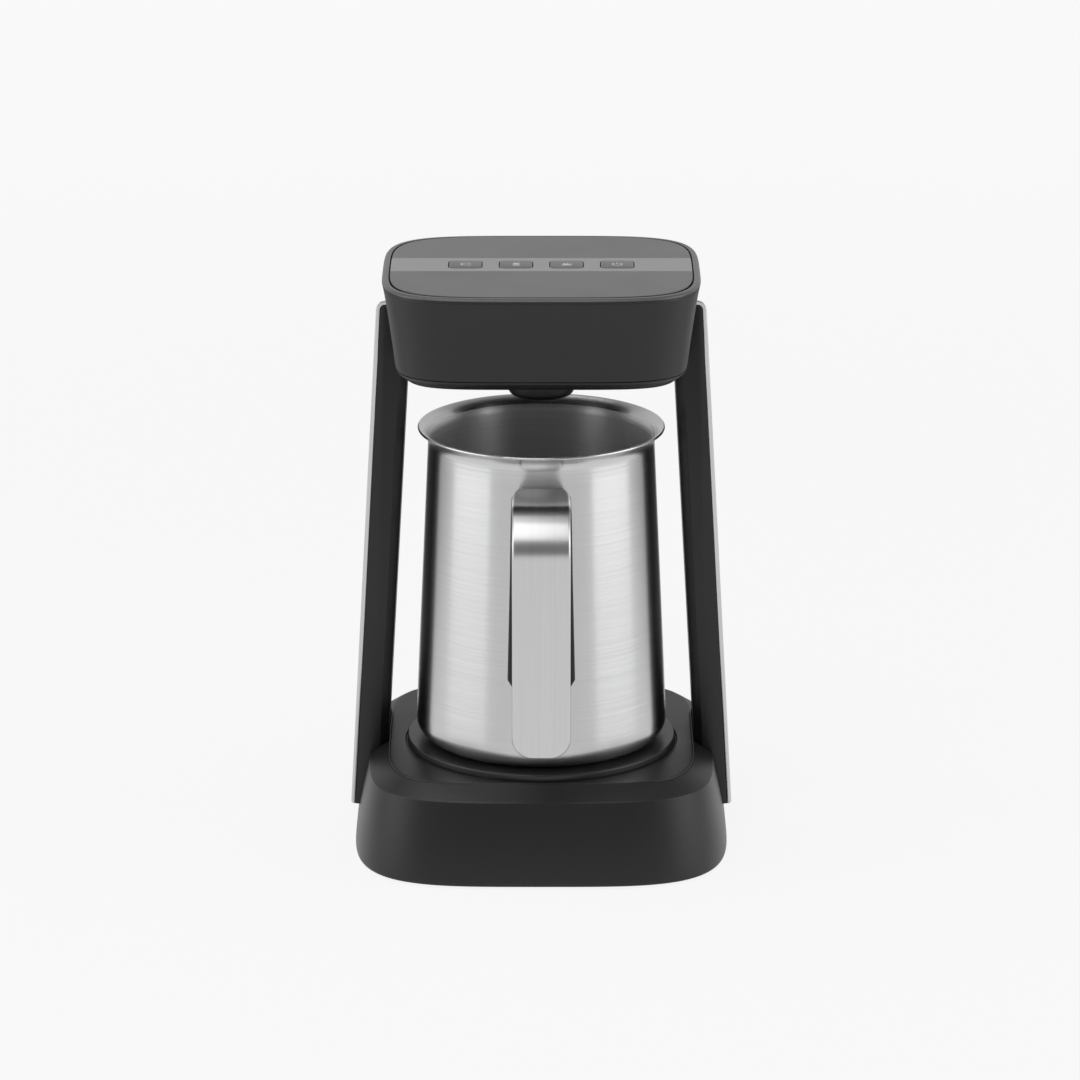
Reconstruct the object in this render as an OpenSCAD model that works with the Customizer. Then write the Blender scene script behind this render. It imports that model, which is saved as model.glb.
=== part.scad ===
// Electric turkish coffee maker: a heated base, two leaning arms, a head with four keys
// and a jug that slides out to the front.
// Millimetres, +Z up. The origin lies on the table, under the jug's axis; the front is -Y.

/* [Base] */
// Width of the flat deck
deck_w = 113.4; // [108:0.2:124]
// Depth of the flat deck
deck_d = 117.2; // [110:0.2:130]
// How far the middle of the deck lies behind the jug's axis
deck_back = 6.2; // [2:0.2:10]
// Height of the deck above the table
deck_h = 36.8; // [34:0.2:46]
// Thickness of the deck
deck_t = 2.4; // [1.8:0.1:3]
// Width of the sloped border round the deck
slope_w = 7.8; // [6:0.2:10]
// Drop of the sloped border
slope_drop = 5; // [3:0.2:7]
// How far the side wall spreads from the border down to the table
flare_w = 5.4; // [3:0.2:7]
// Radius of the edge round the bottom of the casing
base_round = 0.8; // [0.6:0.2:4]
// Wall of the base casing
base_wall = 2.5; // [1.8:0.1:3]
// Thickness of the bottom cover
cover_t = 2.4; // [1.8:0.1:3]

/* [Feet] */
// Radius of each rubber foot
foot_r = 6; // [4:0.5:7]
// How far the feet lift the casing off the table
foot_lift = 0.8; // [0.6:0.1:2]
// Depth to which a foot is let into the cover
foot_let_in = 0.8; // [0.4:0.1:1.2]
// Distance of the feet from the cover's screws, sideways
foot_inset = 13; // [11:1:19]
// Distance of the feet from the deck's front and rear edge
foot_edge = 12; // [10:1:20]

/* [Warming plate] */
// Width of the deck beside the warming plate
plate_side = 6.5; // [5.7:0.1:8.7]
// Width of the deck in front of the warming plate
plate_front = 2.2; // [1.4:0.1:4.4]
// Thickness of the warming plate
plate_t = 4.4; // [3.6:0.1:5]
// How far the warming plate stands above the deck
plate_rise = 2.2; // [1.6:0.1:3]
// Width of the gap between the plate and the deck
plate_gap = 1; // [0.6:0.1:1.4]
// Mean radius of the heating element
heater_r = 32; // [26:0.5:34]
// Width of the heating element
heater_w = 8; // [6:0.5:9]
// Height of the heating element
heater_h = 5; // [3:0.5:6]
// Radius of the thermostat
thermostat_r = 9; // [6:0.5:11]

/* [Arms] */
// Depth of the arms from front to rear
arm_d = 39.5; // [34:0.5:44]
// Distance of the arms' front face in front of the jug's axis
arm_fore = 3; // [0:0.5:8]
// Thickness of the steel plate on an arm
arm_plate_t = 1.6; // [1.2:0.1:2]
// Thickness of the black beam behind the plate
arm_beam_t = 11.2; // [10:0.2:12.4]
// Wall of the hollow beam
arm_wall = 2.2; // [1.6:0.1:2.6]
// Size of the chamfer on the beam's inner edges
arm_chamfer = 3; // [1:0.2:3.6]
// Height of the arms' lower end above the table
arm_foot_z = 11.4; // [11.2:0.1:14]
// Distance of the arms' upper end below the top of the head
arm_head_drop = 12.1; // [9:0.1:14]
// Distance between an arm's inner face and the edge of the deck
arm_deck_gap = 0.9; // [0.4:0.1:2]
// How far an arm stands out from the head's side at the arm's upper end
arm_proud = 3.9; // [3:0.1:5]
// Radius of the bend at the plate's upper end
arm_bend_r = 3.5; // [2.4:0.1:4]
// Slope of the arms' upper ends, down towards the rear, in degrees
arm_top_slope = 16; // [12:1:17]

/* [Head] */
// Width of the head across its top
head_w = 116.4; // [112:0.2:120]
// Depth of the head across its top
head_d = 100.6; // [94:0.2:110]
// Height of the head
head_h = 36.1; // [34:0.1:42]
// How much narrower each side is at the bottom than at the top
head_taper = 4.6; // [3:0.1:5.2]
// Size of the bevel round the bottom of the head
head_bevel = 3.8; // [3:0.1:5]
// Wall of the head's casing
head_wall = 2.2; // [1.6:0.1:2.6]
// Width of the rim round the top panel
rim_w = 2.5; // [1.4:0.1:3]
// Thickness of the top panel
panel_t = 1.8; // [1.6:0.1:2.4]
// Gap round the top panel
panel_gap = 0.4; // [0.2:0.05:0.6]
// Depth of the band across the panel, front to rear
band_d = 20.3; // [16:0.1:24]
// Distance of the band's middle behind the jug's axis
band_back = 2.9; // [0:0.1:6]
// Thickness of the band
band_t = 0.8; // [0.6:0.1:1]

/* [Keys] */
// Width of a key
key_w = 12.1; // [9:0.1:14]
// Depth of a key, front to rear
key_d = 11.4; // [8:0.1:13]
// Distance from one key to the next
key_pitch = 18.6; // [17:0.1:19.4]
// Corner radius of a key
key_round = 2.2; // [1:0.1:3]
// How far a key travels when it is pressed
key_travel = 0.8; // [0.4:0.1:1]
// Gap round a key
key_gap = 0.3; // [0.25:0.05:0.45]

/* [Sensor] */
// Radius of the sensor's boss under the head
boss_r = 12.4; // [10:0.1:14]
// Length of the boss below the head
boss_len = 12.1; // [8:0.1:16]
// Wall of the boss
boss_wall = 2; // [1.4:0.1:2.6]
// Radius of the lens
lens_r = 8; // [6:0.1:9]
// Thickness of the lens
lens_t = 1.6; // [1:0.1:2]
// Free height between the jug's rim and the boss
pour_gap = 12.2; // [8:0.1:20]

/* [Jug] */
// Height of the jug
jug_h = 119.7; // [100:0.1:130]
// Outer radius at the jug's rim
rim_r = 45.5; // [44:0.1:47]
// Outer radius at the jug's neck
neck_r = 42; // [38:0.1:43]
// Outer radius of the jug above its bottom edge
belly_r = 46.9; // [44:0.1:48]
// Height of the flared rim
flare_h = 6.4; // [4:0.1:8]
// Radius of the edge round the jug's bottom
jug_round = 7; // [4:0.1:9]
// Wall of the jug
jug_wall = 1; // [0.8:0.05:1.4]
// Thickness of the jug's bottom
jug_floor = 2; // [1:0.1:4]

/* [Handle] */
// Width of the steel strap
strap_w = 21.2; // [18:0.1:24]
// Thickness of the steel strap
strap_t = 3; // [2.4:0.1:3.6]
// Distance from the jug's axis to the front of the strap
strap_reach = 78; // [74:0.5:84]
// Depth of the strap's top below the jug's rim
strap_drop = 12.6; // [10:0.1:16]
// Length of the strap from its top to its free end
strap_len = 91.5; // [80:0.5:98]
// Outer radius of the strap's bend
strap_bend = 17; // [8:0.5:18]
// Radius of the edges along the strap
strap_edge = 1.4; // [0.6:0.1:1.4]
// Radius of the corners at the strap's free end
strap_corner = 7.5; // [4:0.1:9]
// Thickness of the black grip behind the strap
grip_t = 6.8; // [4:0.1:9]
// How much wider than the strap the grip is at its lower end, on each side
grip_out = 1.6; // [0.6:0.1:2.4]
// Distance between the grip's lower end and the strap's free end
grip_short = 25; // [15:0.5:35]
// Height of the block that joins the grip to the jug
root_h = 15; // [12:0.5:20]

/* [Fasteners] */
// Radius of the casing screws
screw_r = 1.5; // [1.2:0.1:1.7]
// Radius of the screws' heads
screw_head_r = 2.8; // [2.4:0.1:3]
// Height of the screws' heads
screw_head_h = 1.6; // [1.2:0.1:2]
// Clearance round a screw in a casing
screw_fit = 0.15; // [0.1:0.05:0.3]

/* [Fit] */
// Clearance between fixed pieces that lie one inside the other
fit = 0.25; // [0.15:0.05:0.4]
// Clearance between the jug and the warming plate
jug_fit = 0.3; // [0.3:0.05:0.5]

/* [Hidden] */
$fn = 96;

// Outlines
ring_points = 72;
base_squareness = 5;
head_squareness = 4.3;

// Colours
BLACK = [0.13, 0.13, 0.135];
DARK = [0.09, 0.09, 0.09];
PANEL = [0.3, 0.3, 0.31];
BAND = [0.6, 0.6, 0.62];
STEEL = [0.75, 0.75, 0.76];
BOARD = [0.12, 0.36, 0.2];
BRASS = [0.75, 0.62, 0.3];

// Heights, from the table up
casing_z = foot_lift;
cover_top = casing_z + cover_t;
border_z = deck_h - slope_drop;
deck_under = deck_h - deck_t;
plate_r = min(deck_w / 2 - plate_side, deck_d / 2 - deck_back - plate_front);
plate_top = deck_h + plate_rise;
plate_under = plate_top - plate_t;
jug_z = plate_top + jug_fit;
rim_z = jug_z + jug_h;
boss_z = rim_z + pour_gap;
head_z = boss_z + boss_len;
head_top = head_z + head_h;

// Base
wall_spread = slope_w + flare_w;
wall_foot = casing_z + base_round;
wall_head = border_z - 0.8;
floor_in = wall_spread - base_round - base_wall + 0.3;
screw_side = 9.7;
screw_front = 11.4;
screw_x = deck_w / 2 - screw_side;
screw_y = deck_d / 2 - screw_front;
foot_x = screw_x - foot_inset;
boss_pillar_r = screw_r + 2;
cover_screw_len = 12;
seal_lip = 2;
seal_t = 1.6;
carrier_t = 1.6;
carrier_z = plate_under - seal_t - carrier_t;
carrier_in = plate_r - 6;
carrier_out = plate_r + plate_gap + seal_lip;
ear_turn = 30;
ear_r = carrier_out + 2.4;
ear_pillar_r = 2.5;
carrier_screw_len = 4.2;
carrier_screw_r = 1.1;
carrier_screw_head_r = 2.1;
board_lift = 3.1;
board_z = cover_top + board_lift;
board_t = 1.6;
board_side = 5;
board_w = 2 * (screw_x - board_side);
board_d = 40;
board_rear = 29;
board_y = deck_back + deck_d / 2 - board_rear;
board_post_r = 3;
board_screw_r = 1.1;
board_screw_head_r = 2.3;
board_screw_head_h = 1.4;
board_screw_side = 4;
board_screw_front = 9;
board_screw_hold = 2.6;
board_screw_x = board_w / 2 - board_screw_side;
board_screw_y = board_d / 2 - board_screw_front;
inlet_z = 22;
inlet_r = 5.4;
inlet_flange_r = 7.4;
inlet_bore_r = 3.2;
inlet_flange_t = 1.3;
inlet_len = 8;
inlet_tilt = atan((wall_spread_at(inlet_z - inlet_r) - wall_spread_at(inlet_z + inlet_r)) / (2 * inlet_r));

// Arms: each is drawn in its own frame, x out from the outer face, z up along the arm
arm_t = arm_plate_t + arm_beam_t;
arm_top_z = head_top - arm_head_drop;
head_side_at_arm = head_w / 2 - head_taper * (arm_head_drop - 1.9) / (head_h - head_bevel - 1.9);
arm_top_x = head_side_at_arm + arm_proud;
arm_rise = arm_top_z - arm_foot_z;
arm_inner_at_deck = deck_w / 2 + arm_deck_gap;
deck_share = (deck_h - arm_foot_z) / arm_rise;
arm_foot_x = (arm_inner_at_deck + arm_t - arm_top_x * deck_share) / (1 - deck_share);
arm_lean = atan((arm_foot_x - arm_top_x) / arm_rise);
arm_len = arm_rise / cos(arm_lean);
arm_y = -arm_fore;
arm_screw_edge = 9;
arm_screw_low = 8;
arm_screw_high = 8;
arm_screw_ys = [arm_y + arm_screw_edge, arm_y + arm_d - arm_screw_edge];
arm_screw_spots = [for (y = arm_screw_ys, z = [arm_screw_low, arm_top_at(y) - arm_screw_high]) [y, z]];
base_pad_top = (deck_h - deck_t / 2 - arm_foot_z) / cos(arm_lean);
arm_screw_len = 9;
arm_post_r = 3.2;
pad_t = 2.5;
pad_edge = 2;
head_pad_low = 22;
head_pad_high = 14;
bend_over = 2;
bend_run = arm_d / cos(arm_top_slope) + 2 * bend_over;
loom_w = 5;
loom_t = 2.4;
loom_side = 3;
loom_start = 6;
loom_y = arm_y + arm_d / 2 - loom_w / 2;
loom_in = arm_plate_t + arm_wall + loom_side;
loom_exit = 13;
loom_plug = [8, 7];

// Head
shell_z = head_z + head_bevel;
panel_z = head_top - 0.2 - panel_t;
ceiling_t = 2.2;
ceiling_z = panel_z - ceiling_t;
edge_round = 1.2;
panel_in = -(rim_w + panel_gap);
cover_floor = head_z + head_wall;
head_screw_x = 34;
head_screw_y = 35;
head_post_r = 3.4;
key_proud = 0.15;
key_lip = 1;
key_lip_t = 1;
key_lip_gap = 0.3;
key_top = head_top - 0.2 + key_proud;
key_lip_z = ceiling_z - key_lip_gap - key_lip_t;
key_stem_r = 2;
key_stem_len = 2.1;
key_stem_z = key_lip_z - key_stem_len;
stem_gap = key_travel + 0.3;
switch_w = 6;
switch_h = 3.5;
plunger_r = 1.7;
plunger_h = 0.5;
circuit_t = 1.6;
circuit_screw_hold = 3.6;
circuit_z = key_stem_z - stem_gap - plunger_h - switch_h - circuit_t;
circuit_w = 84;
circuit_d = 44;
circuit_post_x = circuit_w / 2 - 4;
circuit_post_y = circuit_d / 2 - 3.5;
circuit_post_r = 2.6;
buzzer_r = 6;
buzzer_h = 5;

// Sensor
flange_r = boss_r + 4;
flange_t = 1.8;
boss_edge = 1.2;
lens_in = 0.5;
flange_screw_r = 1.1;
flange_screw_head_r = 2.1;
flange_screw_x = boss_r + 2;
flange_screw_len = 3.4;
sensor_disc_r = boss_r - boss_wall - 0.5;
sensor_z = head_z - 3;
sensor_can_r = 4.2;
sensor_can_h = 5;
shelf_w = 1.2;

// Jug
jug_top = jug_z + jug_h;
neck_z = jug_top - flare_h;
lip_turn = 65;
strap_top = jug_top - strap_drop;
strap_end = strap_top - strap_len;
wall_at_root = jug_wall_y(strap_top);
root_block_z = strap_top - strap_t - root_h;
grip_front = strap_reach - strap_t;
grip_back = grip_front - grip_t;
grip_end = strap_end + grip_short;
bracket_t = 1.5;
bracket_w = 12;
tongue_len = 14;
tongue_z = root_block_z + 8;
bracket_z = tongue_z - 1;
bracket_h = strap_top - strap_t - 0.5 - bracket_z;
handle_screw_r = 1.3;
handle_screw_head_r = 2.3;
handle_screw_x = 3.5;
handle_screw_y = wall_at_root + 8.5;

// Outer radius of the jug's wall at height z, on its tapering part
function jug_wall_y(z) =
    let (low = jug_z + jug_round, high = jug_top - flare_h)
    belly_r + (neck_r - belly_r) * (z - low) / (high - low);

// Rounded square outline with half sizes a and b, moved out by grow, at height z
function outline(a, b, n, grow, z, back) = [
    for (i = [0:ring_points - 1])
        let (
            t = 360 * i / ring_points,
            c = cos(t), s = sin(t),
            x = a * sign(c) * pow(abs(c), 2 / n),
            y = b * sign(s) * pow(abs(s), 2 / n),
            u = sign(c) * pow(abs(c), 2 - 2 / n) / a,
            v = sign(s) * pow(abs(s), 2 - 2 / n) / b,
            l = norm([u, v])
        )
        [x + grow * u / l, back + y + grow * v / l, z]
];
function base_ring(grow, z) = outline(deck_w / 2, deck_d / 2, base_squareness, grow, z, deck_back);
function head_ring(grow, z) = outline(head_w / 2, head_d / 2, head_squareness, grow, z, 0);

// Solid through a stack of rings, lowest first
module loft(rings) {
    n = len(rings[0]);
    m = len(rings);
    sides = [
        for (j = [0:m - 2], i = [0:n - 1])
            let (k = (i + 1) % n, a = j * n + i, b = j * n + k, c = a + n, d = b + n)
            each [[a, c, d], [a, d, b]]
    ];
    floor_face = [[for (i = [0:n - 1]) i]];
    roof_face = [[for (i = [n - 1:-1:0]) (m - 1) * n + i]];
    polyhedron([for (r = rings) each r], concat(floor_face, sides, roof_face));
}

module rounded_slab(w, d, h, r) {
    linear_extrude(h) {
        square([w - 2 * r, d], center = true);
        square([w, d - 2 * r], center = true);
        for (x = [-1, 1], y = [-1, 1]) translate([x * (w / 2 - r), y * (d / 2 - r)]) circle(r);
    }
}

module post(r, z0, z1) translate([0, 0, z0]) cylinder(r = r, h = z1 - z0);

// Screw with its head down and its tip up; z is the underside of what it clamps
module screw_up(r, head_r, head_h, z, length) {
    post(head_r, z - head_h, z);
    post(r, z, z + length);
}

module corners(x, y, back = 0) for (i = [-1, 1], j = [-1, 1]) translate([i * x, back + j * y, 0]) children();

module ears(r)
    for (turn = [ear_turn, 180 - ear_turn, 180 + ear_turn, -ear_turn])
        rotate(turn) translate([r, 0, 0]) children();

// Place across the object, at height z, of a line that runs along the arm at x in the arm's frame
function arm_line_x(x, z) = arm_foot_x + x / cos(arm_lean) - (z - arm_foot_z) * tan(arm_lean);

// Height along the arm of its sloping upper end, at y
function arm_top_at(y) = arm_len - (y - arm_y) * tan(arm_top_slope);

// Places what is drawn in an arm's frame; side is 1 on the right and -1 on the left
module on_arm(side) {
    mirror([side < 0 ? 1 : 0, 0, 0])
        translate([arm_foot_x, 0, arm_foot_z]) rotate([0, -arm_lean, 0]) children();
}

// ---- Base ----

base_wall_steps = 6;
function base_spread(u) = wall_spread - flare_w * pow(u, 1.3);
function wall_spread_at(z) = base_spread((z - wall_foot) / (wall_head - wall_foot));
function base_outer() = concat(
    [for (t = [0:22.5:90])
        base_ring(wall_spread - base_round * (1 - sin(t)), casing_z + base_round * (1 - cos(t)))],
    [for (k = [1:base_wall_steps])
        let (u = k / base_wall_steps)
        base_ring(base_spread(u), wall_foot + (wall_head - wall_foot) * u)],
    [base_ring(slope_w - 0.5, border_z + 0.1), base_ring(0.4, deck_h - 0.25), base_ring(-0.4, deck_h)]
);
function base_inner() = concat(
    [base_ring(floor_in, casing_z - 1), base_ring(floor_in, wall_foot)],
    [for (k = [1:base_wall_steps])
        let (u = k / base_wall_steps)
        base_ring(base_spread(u) - base_wall, wall_foot + (wall_head - 1.2 - wall_foot) * u)],
    [base_ring(0.6, deck_under)]
);

// Room for an arm in a casing
module arm_room(gap) {
    translate([-arm_t - gap, 0, 0]) rotate([90, 0, 90]) linear_extrude(arm_t + 2 * gap)
        arm_side(gap, gap / cos(arm_top_slope));
}

// Side view of an arm, grown by gap and with its upper end raised by lift
module arm_side(gap, lift) {
    front = arm_y - gap;
    rear = arm_y + arm_d + gap;
    polygon([
        [front, -gap], [rear, -gap], [rear, arm_top_at(rear) + lift], [front, arm_top_at(front) + lift],
    ]);
}

// Places what is drawn along an arm's sloping upper end, from its front edge
module on_arm_top() translate([0, arm_y, arm_len]) rotate([-arm_top_slope, 0, 0]) children();

// Plate inside a casing that an arm is screwed to, between two heights along the arm
module arm_pad(z0, z1) {
    difference() {
        translate([-arm_t - fit - pad_t, arm_y + pad_edge, z0]) cube([pad_t, arm_d - 2 * pad_edge, z1 - z0]);
        for (spot = arm_screw_spots)
            translate([-arm_t - fit - pad_t - 1, spot[0], spot[1]]) rotate([0, 90, 0])
                cylinder(r = screw_r + screw_fit, h = pad_t + 2);
        loom_window();
    }
}

// Window for the flat cable near an arm's upper end
module loom_window() {
    depth = arm_wall + fit + pad_t + 2;
    translate([-arm_t - depth + arm_wall + 1, loom_y - 1, arm_len - loom_exit - loom_t - 3])
        cube([depth, loom_w + 2, loom_t + 5]);
}

module base_shell() color(BLACK)
    difference() {
        union() {
            difference() {
                loft(base_outer());
                loft(base_inner());
                for (side = [-1, 1]) on_arm(side) arm_room(fit);
            }
            corners(screw_x, screw_y, deck_back) post(boss_pillar_r, cover_top, deck_under + 0.2);
            ears(ear_r) post(ear_pillar_r, carrier_z + carrier_t, deck_under + 0.2);
            for (side = [-1, 1]) on_arm(side) arm_pad(pad_edge, base_pad_top);
        }
        post(plate_r + plate_gap, carrier_z, deck_h + 1);
        on_inlet() cylinder(r = inlet_r + fit, h = 30, center = true);
        corners(screw_x, screw_y, deck_back)
            post(screw_r + 0.05, cover_top - 1, cover_top + cover_screw_len);
        ears(ear_r) post(carrier_screw_r + 0.05, carrier_z, carrier_z + carrier_screw_len + 0.4);
    }

module base_cover() color(DARK) {
    difference() {
        union() {
            loft([base_ring(floor_in - fit, casing_z), base_ring(floor_in - fit, cover_top)]);
            translate([0, board_y, 0]) corners(board_screw_x, board_screw_y)
                post(board_post_r, cover_top - 0.1, board_z);
        }
        corners(screw_x, screw_y, deck_back) {
            post(screw_r + screw_fit, casing_z - 1, cover_top + 1);
            post(screw_head_r + screw_fit, casing_z - 1, casing_z + screw_head_h);
        }
        corners(foot_x, deck_d / 2 - foot_edge, deck_back)
            post(foot_r + 0.1, casing_z - 1, casing_z + foot_let_in);
        translate([0, board_y, 0]) corners(board_screw_x, board_screw_y)
            post(board_screw_r + 0.05, cover_top, board_z + 1);
    }
}

module base_feet() color(DARK)
    corners(foot_x, deck_d / 2 - foot_edge, deck_back) {
        post(foot_r, 0.3, casing_z + foot_let_in);
        post(foot_r - 0.6, 0, 0.3);
    }

module base_screws() color(STEEL)
    corners(screw_x, screw_y, deck_back)
        screw_up(screw_r, screw_head_r, screw_head_h - 0.1, casing_z + screw_head_h, cover_screw_len - 1);

module warming_plate() color(DARK) {
    edge = 0.7;
    rotate_extrude() polygon([
        [0, plate_under], [plate_r, plate_under], [plate_r, plate_top - edge], [plate_r - edge, plate_top],
        [0, plate_top],
    ]);
}

module plate_seal() color(DARK) {
    upstand_top = deck_h - 0.9;
    seal_z = plate_under - seal_t;
    difference() {
        union() {
            post(carrier_out - 0.6, seal_z, min(plate_under, deck_under));
            post(plate_r + plate_gap - 0.1, seal_z, upstand_top);
        }
        post(carrier_in + 1, seal_z - 1, upstand_top + 1);
        post(plate_r + 0.1, plate_under, upstand_top + 1);
    }
}

module plate_carrier() color(STEEL) {
    difference() {
        union() {
            post(carrier_out, carrier_z, carrier_z + carrier_t);
            ears(ear_r) post(ear_pillar_r + 0.4, carrier_z, carrier_z + carrier_t);
        }
        post(carrier_in, carrier_z - 1, carrier_z + carrier_t + 1);
        ears(ear_r) post(carrier_screw_r + screw_fit, carrier_z - 1, carrier_z + carrier_t + 1);
    }
}

module carrier_screws() color(STEEL)
    ears(ear_r) screw_up(carrier_screw_r, carrier_screw_head_r, 1.2, carrier_z, carrier_screw_len);

module heating_element() color(STEEL) {
    gap_turn = 40;
    terminal_r = 2;
    terminal_h = 6;
    z0 = plate_under - heater_h;
    rotate(gap_turn / 2 - 90) rotate_extrude(angle = 360 - gap_turn)
        translate([heater_r - heater_w / 2, z0]) square([heater_w, heater_h]);
    for (side = [-1, 1]) rotate(side * (gap_turn / 2 + 6) - 90) translate([heater_r, 0, 0])
        post(terminal_r, z0 - terminal_h, z0 + 0.5);
}

module thermostat() color(STEEL) {
    cap_h = 3;
    body_h = 4;
    pin_h = 5;
    post(thermostat_r, plate_under - cap_h, plate_under);
    post(thermostat_r - 1.5, plate_under - cap_h - body_h, plate_under - cap_h);
    for (side = [-1, 1]) translate([side * 4 - 1.5, -0.4, plate_under - cap_h - body_h - pin_h])
        cube([3, 0.8, pin_h + 0.1]);
}

module power_board() color(BOARD)
    difference() {
        translate([-board_w / 2, board_y - board_d / 2, board_z]) cube([board_w, board_d, board_t]);
        translate([0, board_y, 0]) corners(board_screw_x, board_screw_y)
            post(board_screw_r + screw_fit, board_z - 1, board_z + board_t + 1);
    }

module power_board_parts() color(DARK) {
    top = board_z + board_t;
    relay = [19, 15.5, 12];
    relay_at = [-30, -6, 0];
    transformer = [22, 18, 13];
    transformer_at = [3, -8, 0];
    terminal_block = [16, 8, 9];
    terminal_at = [-20, 10.5, 0];
    capacitor_r = 5;
    capacitor_h = 12;
    capacitor_at = [-4, 1, 0];
    translate([0, board_y, top]) {
        translate(relay_at) cube(relay);
        translate(transformer_at) cube(transformer);
        translate(terminal_at) cube(terminal_block);
        translate(capacitor_at) post(capacitor_r, 0, capacitor_h);
    }
}

module power_board_screws() color(STEEL)
    translate([0, board_y, 0]) corners(board_screw_x, board_screw_y) {
        post(board_screw_head_r, board_z + board_t, board_z + board_t + board_screw_head_h);
        post(board_screw_r, board_z - board_screw_hold, board_z + board_t + 0.1);
    }

// Places what is drawn square to the rear wall, z outwards, at the lead's inlet
module on_inlet()
    translate([0, deck_back + deck_d / 2 + wall_spread_at(inlet_z), inlet_z])
        rotate([inlet_tilt - 90, 0, 0]) children();

// Collar in the rear wall where the lead enters
module cord_inlet() color(DARK)
    on_inlet() difference() {
        union() {
            translate([0, 0, 0.12]) cylinder(r = inlet_flange_r, h = inlet_flange_t);
            translate([0, 0, -inlet_len]) cylinder(r = inlet_r, h = inlet_len + 1);
        }
        translate([0, 0, -inlet_len - 1]) cylinder(r = inlet_bore_r, h = inlet_len + 10);
    }

// ---- Arms ----

// Beam section with chamfered inner edges, shrunk by s on every side
module beam_section(s) {
    x0 = -arm_t + s;
    x1 = -arm_plate_t - s;
    y0 = arm_y + s;
    y1 = arm_y + arm_d - s;
    c = arm_chamfer - s * 0.4;
    polygon([[x1, y0], [x1, y1], [x0 + c, y1], [x0, y1 - c], [x0, y0 + c], [x0 + c, y0]]);
}

module arm_beam() {
    difference() {
        intersection() {
            linear_extrude(arm_len) beam_section(0);
            translate([-arm_t, 0, 0]) rotate([90, 0, 90]) linear_extrude(arm_t)
                arm_side(0, -arm_plate_t / cos(arm_top_slope));
        }
        difference() {
            translate([0, 0, -1]) linear_extrude(arm_len + 2) beam_section(arm_wall);
            for (spot = arm_screw_spots) translate([-arm_t, spot[0], spot[1]]) rotate([0, 90, 0])
                cylinder(r = arm_post_r, h = arm_t);
        }
        for (spot = arm_screw_spots) translate([-arm_t - 1, spot[0], spot[1]]) rotate([0, 90, 0])
            cylinder(r = screw_r + 0.05, h = arm_screw_len - 1.4);
        loom_window();
        on_arm_top() along_bend() difference() {
            bend_corner();
            translate([0, 0, -1]) cylinder(r = arm_bend_r - arm_plate_t, h = bend_run + 2);
        }
    }
}

// Places what is drawn round the axis of the plate's bend, z along it, from before the arm's front
module along_bend() translate([-arm_bend_r, -bend_over, -arm_bend_r]) rotate([-90, 0, 0]) children();

// Quarter of the room round the bend's axis in which the bend lies
module bend_corner() translate([0, -arm_bend_r - 1, 0]) cube([arm_bend_r + 1, arm_bend_r + 1, bend_run]);

module left_arm() color(BLACK) on_arm(-1) arm_beam();
module right_arm() color(BLACK) on_arm(1) arm_beam();

// Steel plate over the arm's outer face, bent over its upper end
module arm_plate() {
    flange = arm_proud + 1.6 - arm_bend_r;
    translate([-arm_plate_t, 0, 0]) rotate([90, 0, 90]) linear_extrude(arm_plate_t)
        arm_side(0, -arm_bend_r / cos(arm_top_slope));
    intersection() {
        translate([-arm_t, arm_y, 0]) cube([arm_t + 1, arm_d, arm_len + 1]);
        on_arm_top() {
            along_bend() intersection() {
                difference() {
                    cylinder(r = arm_bend_r, h = bend_run);
                    translate([0, 0, -1]) cylinder(r = arm_bend_r - arm_plate_t, h = bend_run + 2);
                }
                bend_corner();
            }
            translate([-arm_bend_r - flange, -bend_over, -arm_plate_t])
                cube([flange, bend_run, arm_plate_t]);
        }
    }
}

module left_arm_plate() color(STEEL) on_arm(-1) arm_plate();
module right_arm_plate() color(STEEL) on_arm(1) arm_plate();

module arm_screws() color(STEEL)
    for (side = [-1, 1]) on_arm(side) for (spot = arm_screw_spots)
        translate([-arm_t - fit - pad_t - screw_head_h, spot[0], spot[1]]) rotate([0, 90, 0]) {
            cylinder(r = screw_head_r, h = screw_head_h);
            cylinder(r = screw_r, h = screw_head_h + arm_screw_len);
        }

// Flat cable from the lower board through the right arm to the control board
module wire_loom() color(DARK) {
    low = board_z + board_t;
    high = arm_foot_z + (arm_len - loom_exit) * cos(arm_lean) - loom_t;
    start_x = board_w / 2 - loom_start;
    plug_x = circuit_post_x - 10;
    outer = -loom_in;
    inner = -loom_in - loom_t;
    translate([0, loom_y + loom_w, 0]) rotate([90, 0, 0]) linear_extrude(loom_w) polygon([
        [start_x, low], [arm_line_x(outer, low), low], [arm_line_x(outer, high + loom_t), high + loom_t],
        [plug_x, high + loom_t], [plug_x, high], [arm_line_x(inner, high), high],
        [arm_line_x(inner, low + loom_t), low + loom_t], [start_x, low + loom_t],
    ]);
    translate([plug_x - loom_plug[0] / 2, loom_y + loom_w / 2 - loom_plug[1] / 2, high - 0.5])
        cube([loom_plug[0], loom_plug[1], circuit_z - high + 0.5]);
}

// ---- Head ----

head_steps = 6;
function head_draft(u) = -head_taper * pow(1 - u, 0.8);
function head_outer() = concat(
    [for (k = [0:head_steps])
        let (u = k / head_steps)
        head_ring(head_draft(u), shell_z + (head_top - 1.9 - shell_z) * u)],
    [for (t = [30:30:90]) head_ring(-edge_round * (1 - cos(t)), head_top - 1.9 + 1.9 * sin(t))]
);
function head_inner() = [
    for (k = [0:head_steps])
        let (u = k / head_steps)
        head_ring(head_draft(u) - head_wall, k == 0 ? shell_z - 1 : shell_z + (ceiling_z - shell_z) * u)
];

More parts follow.
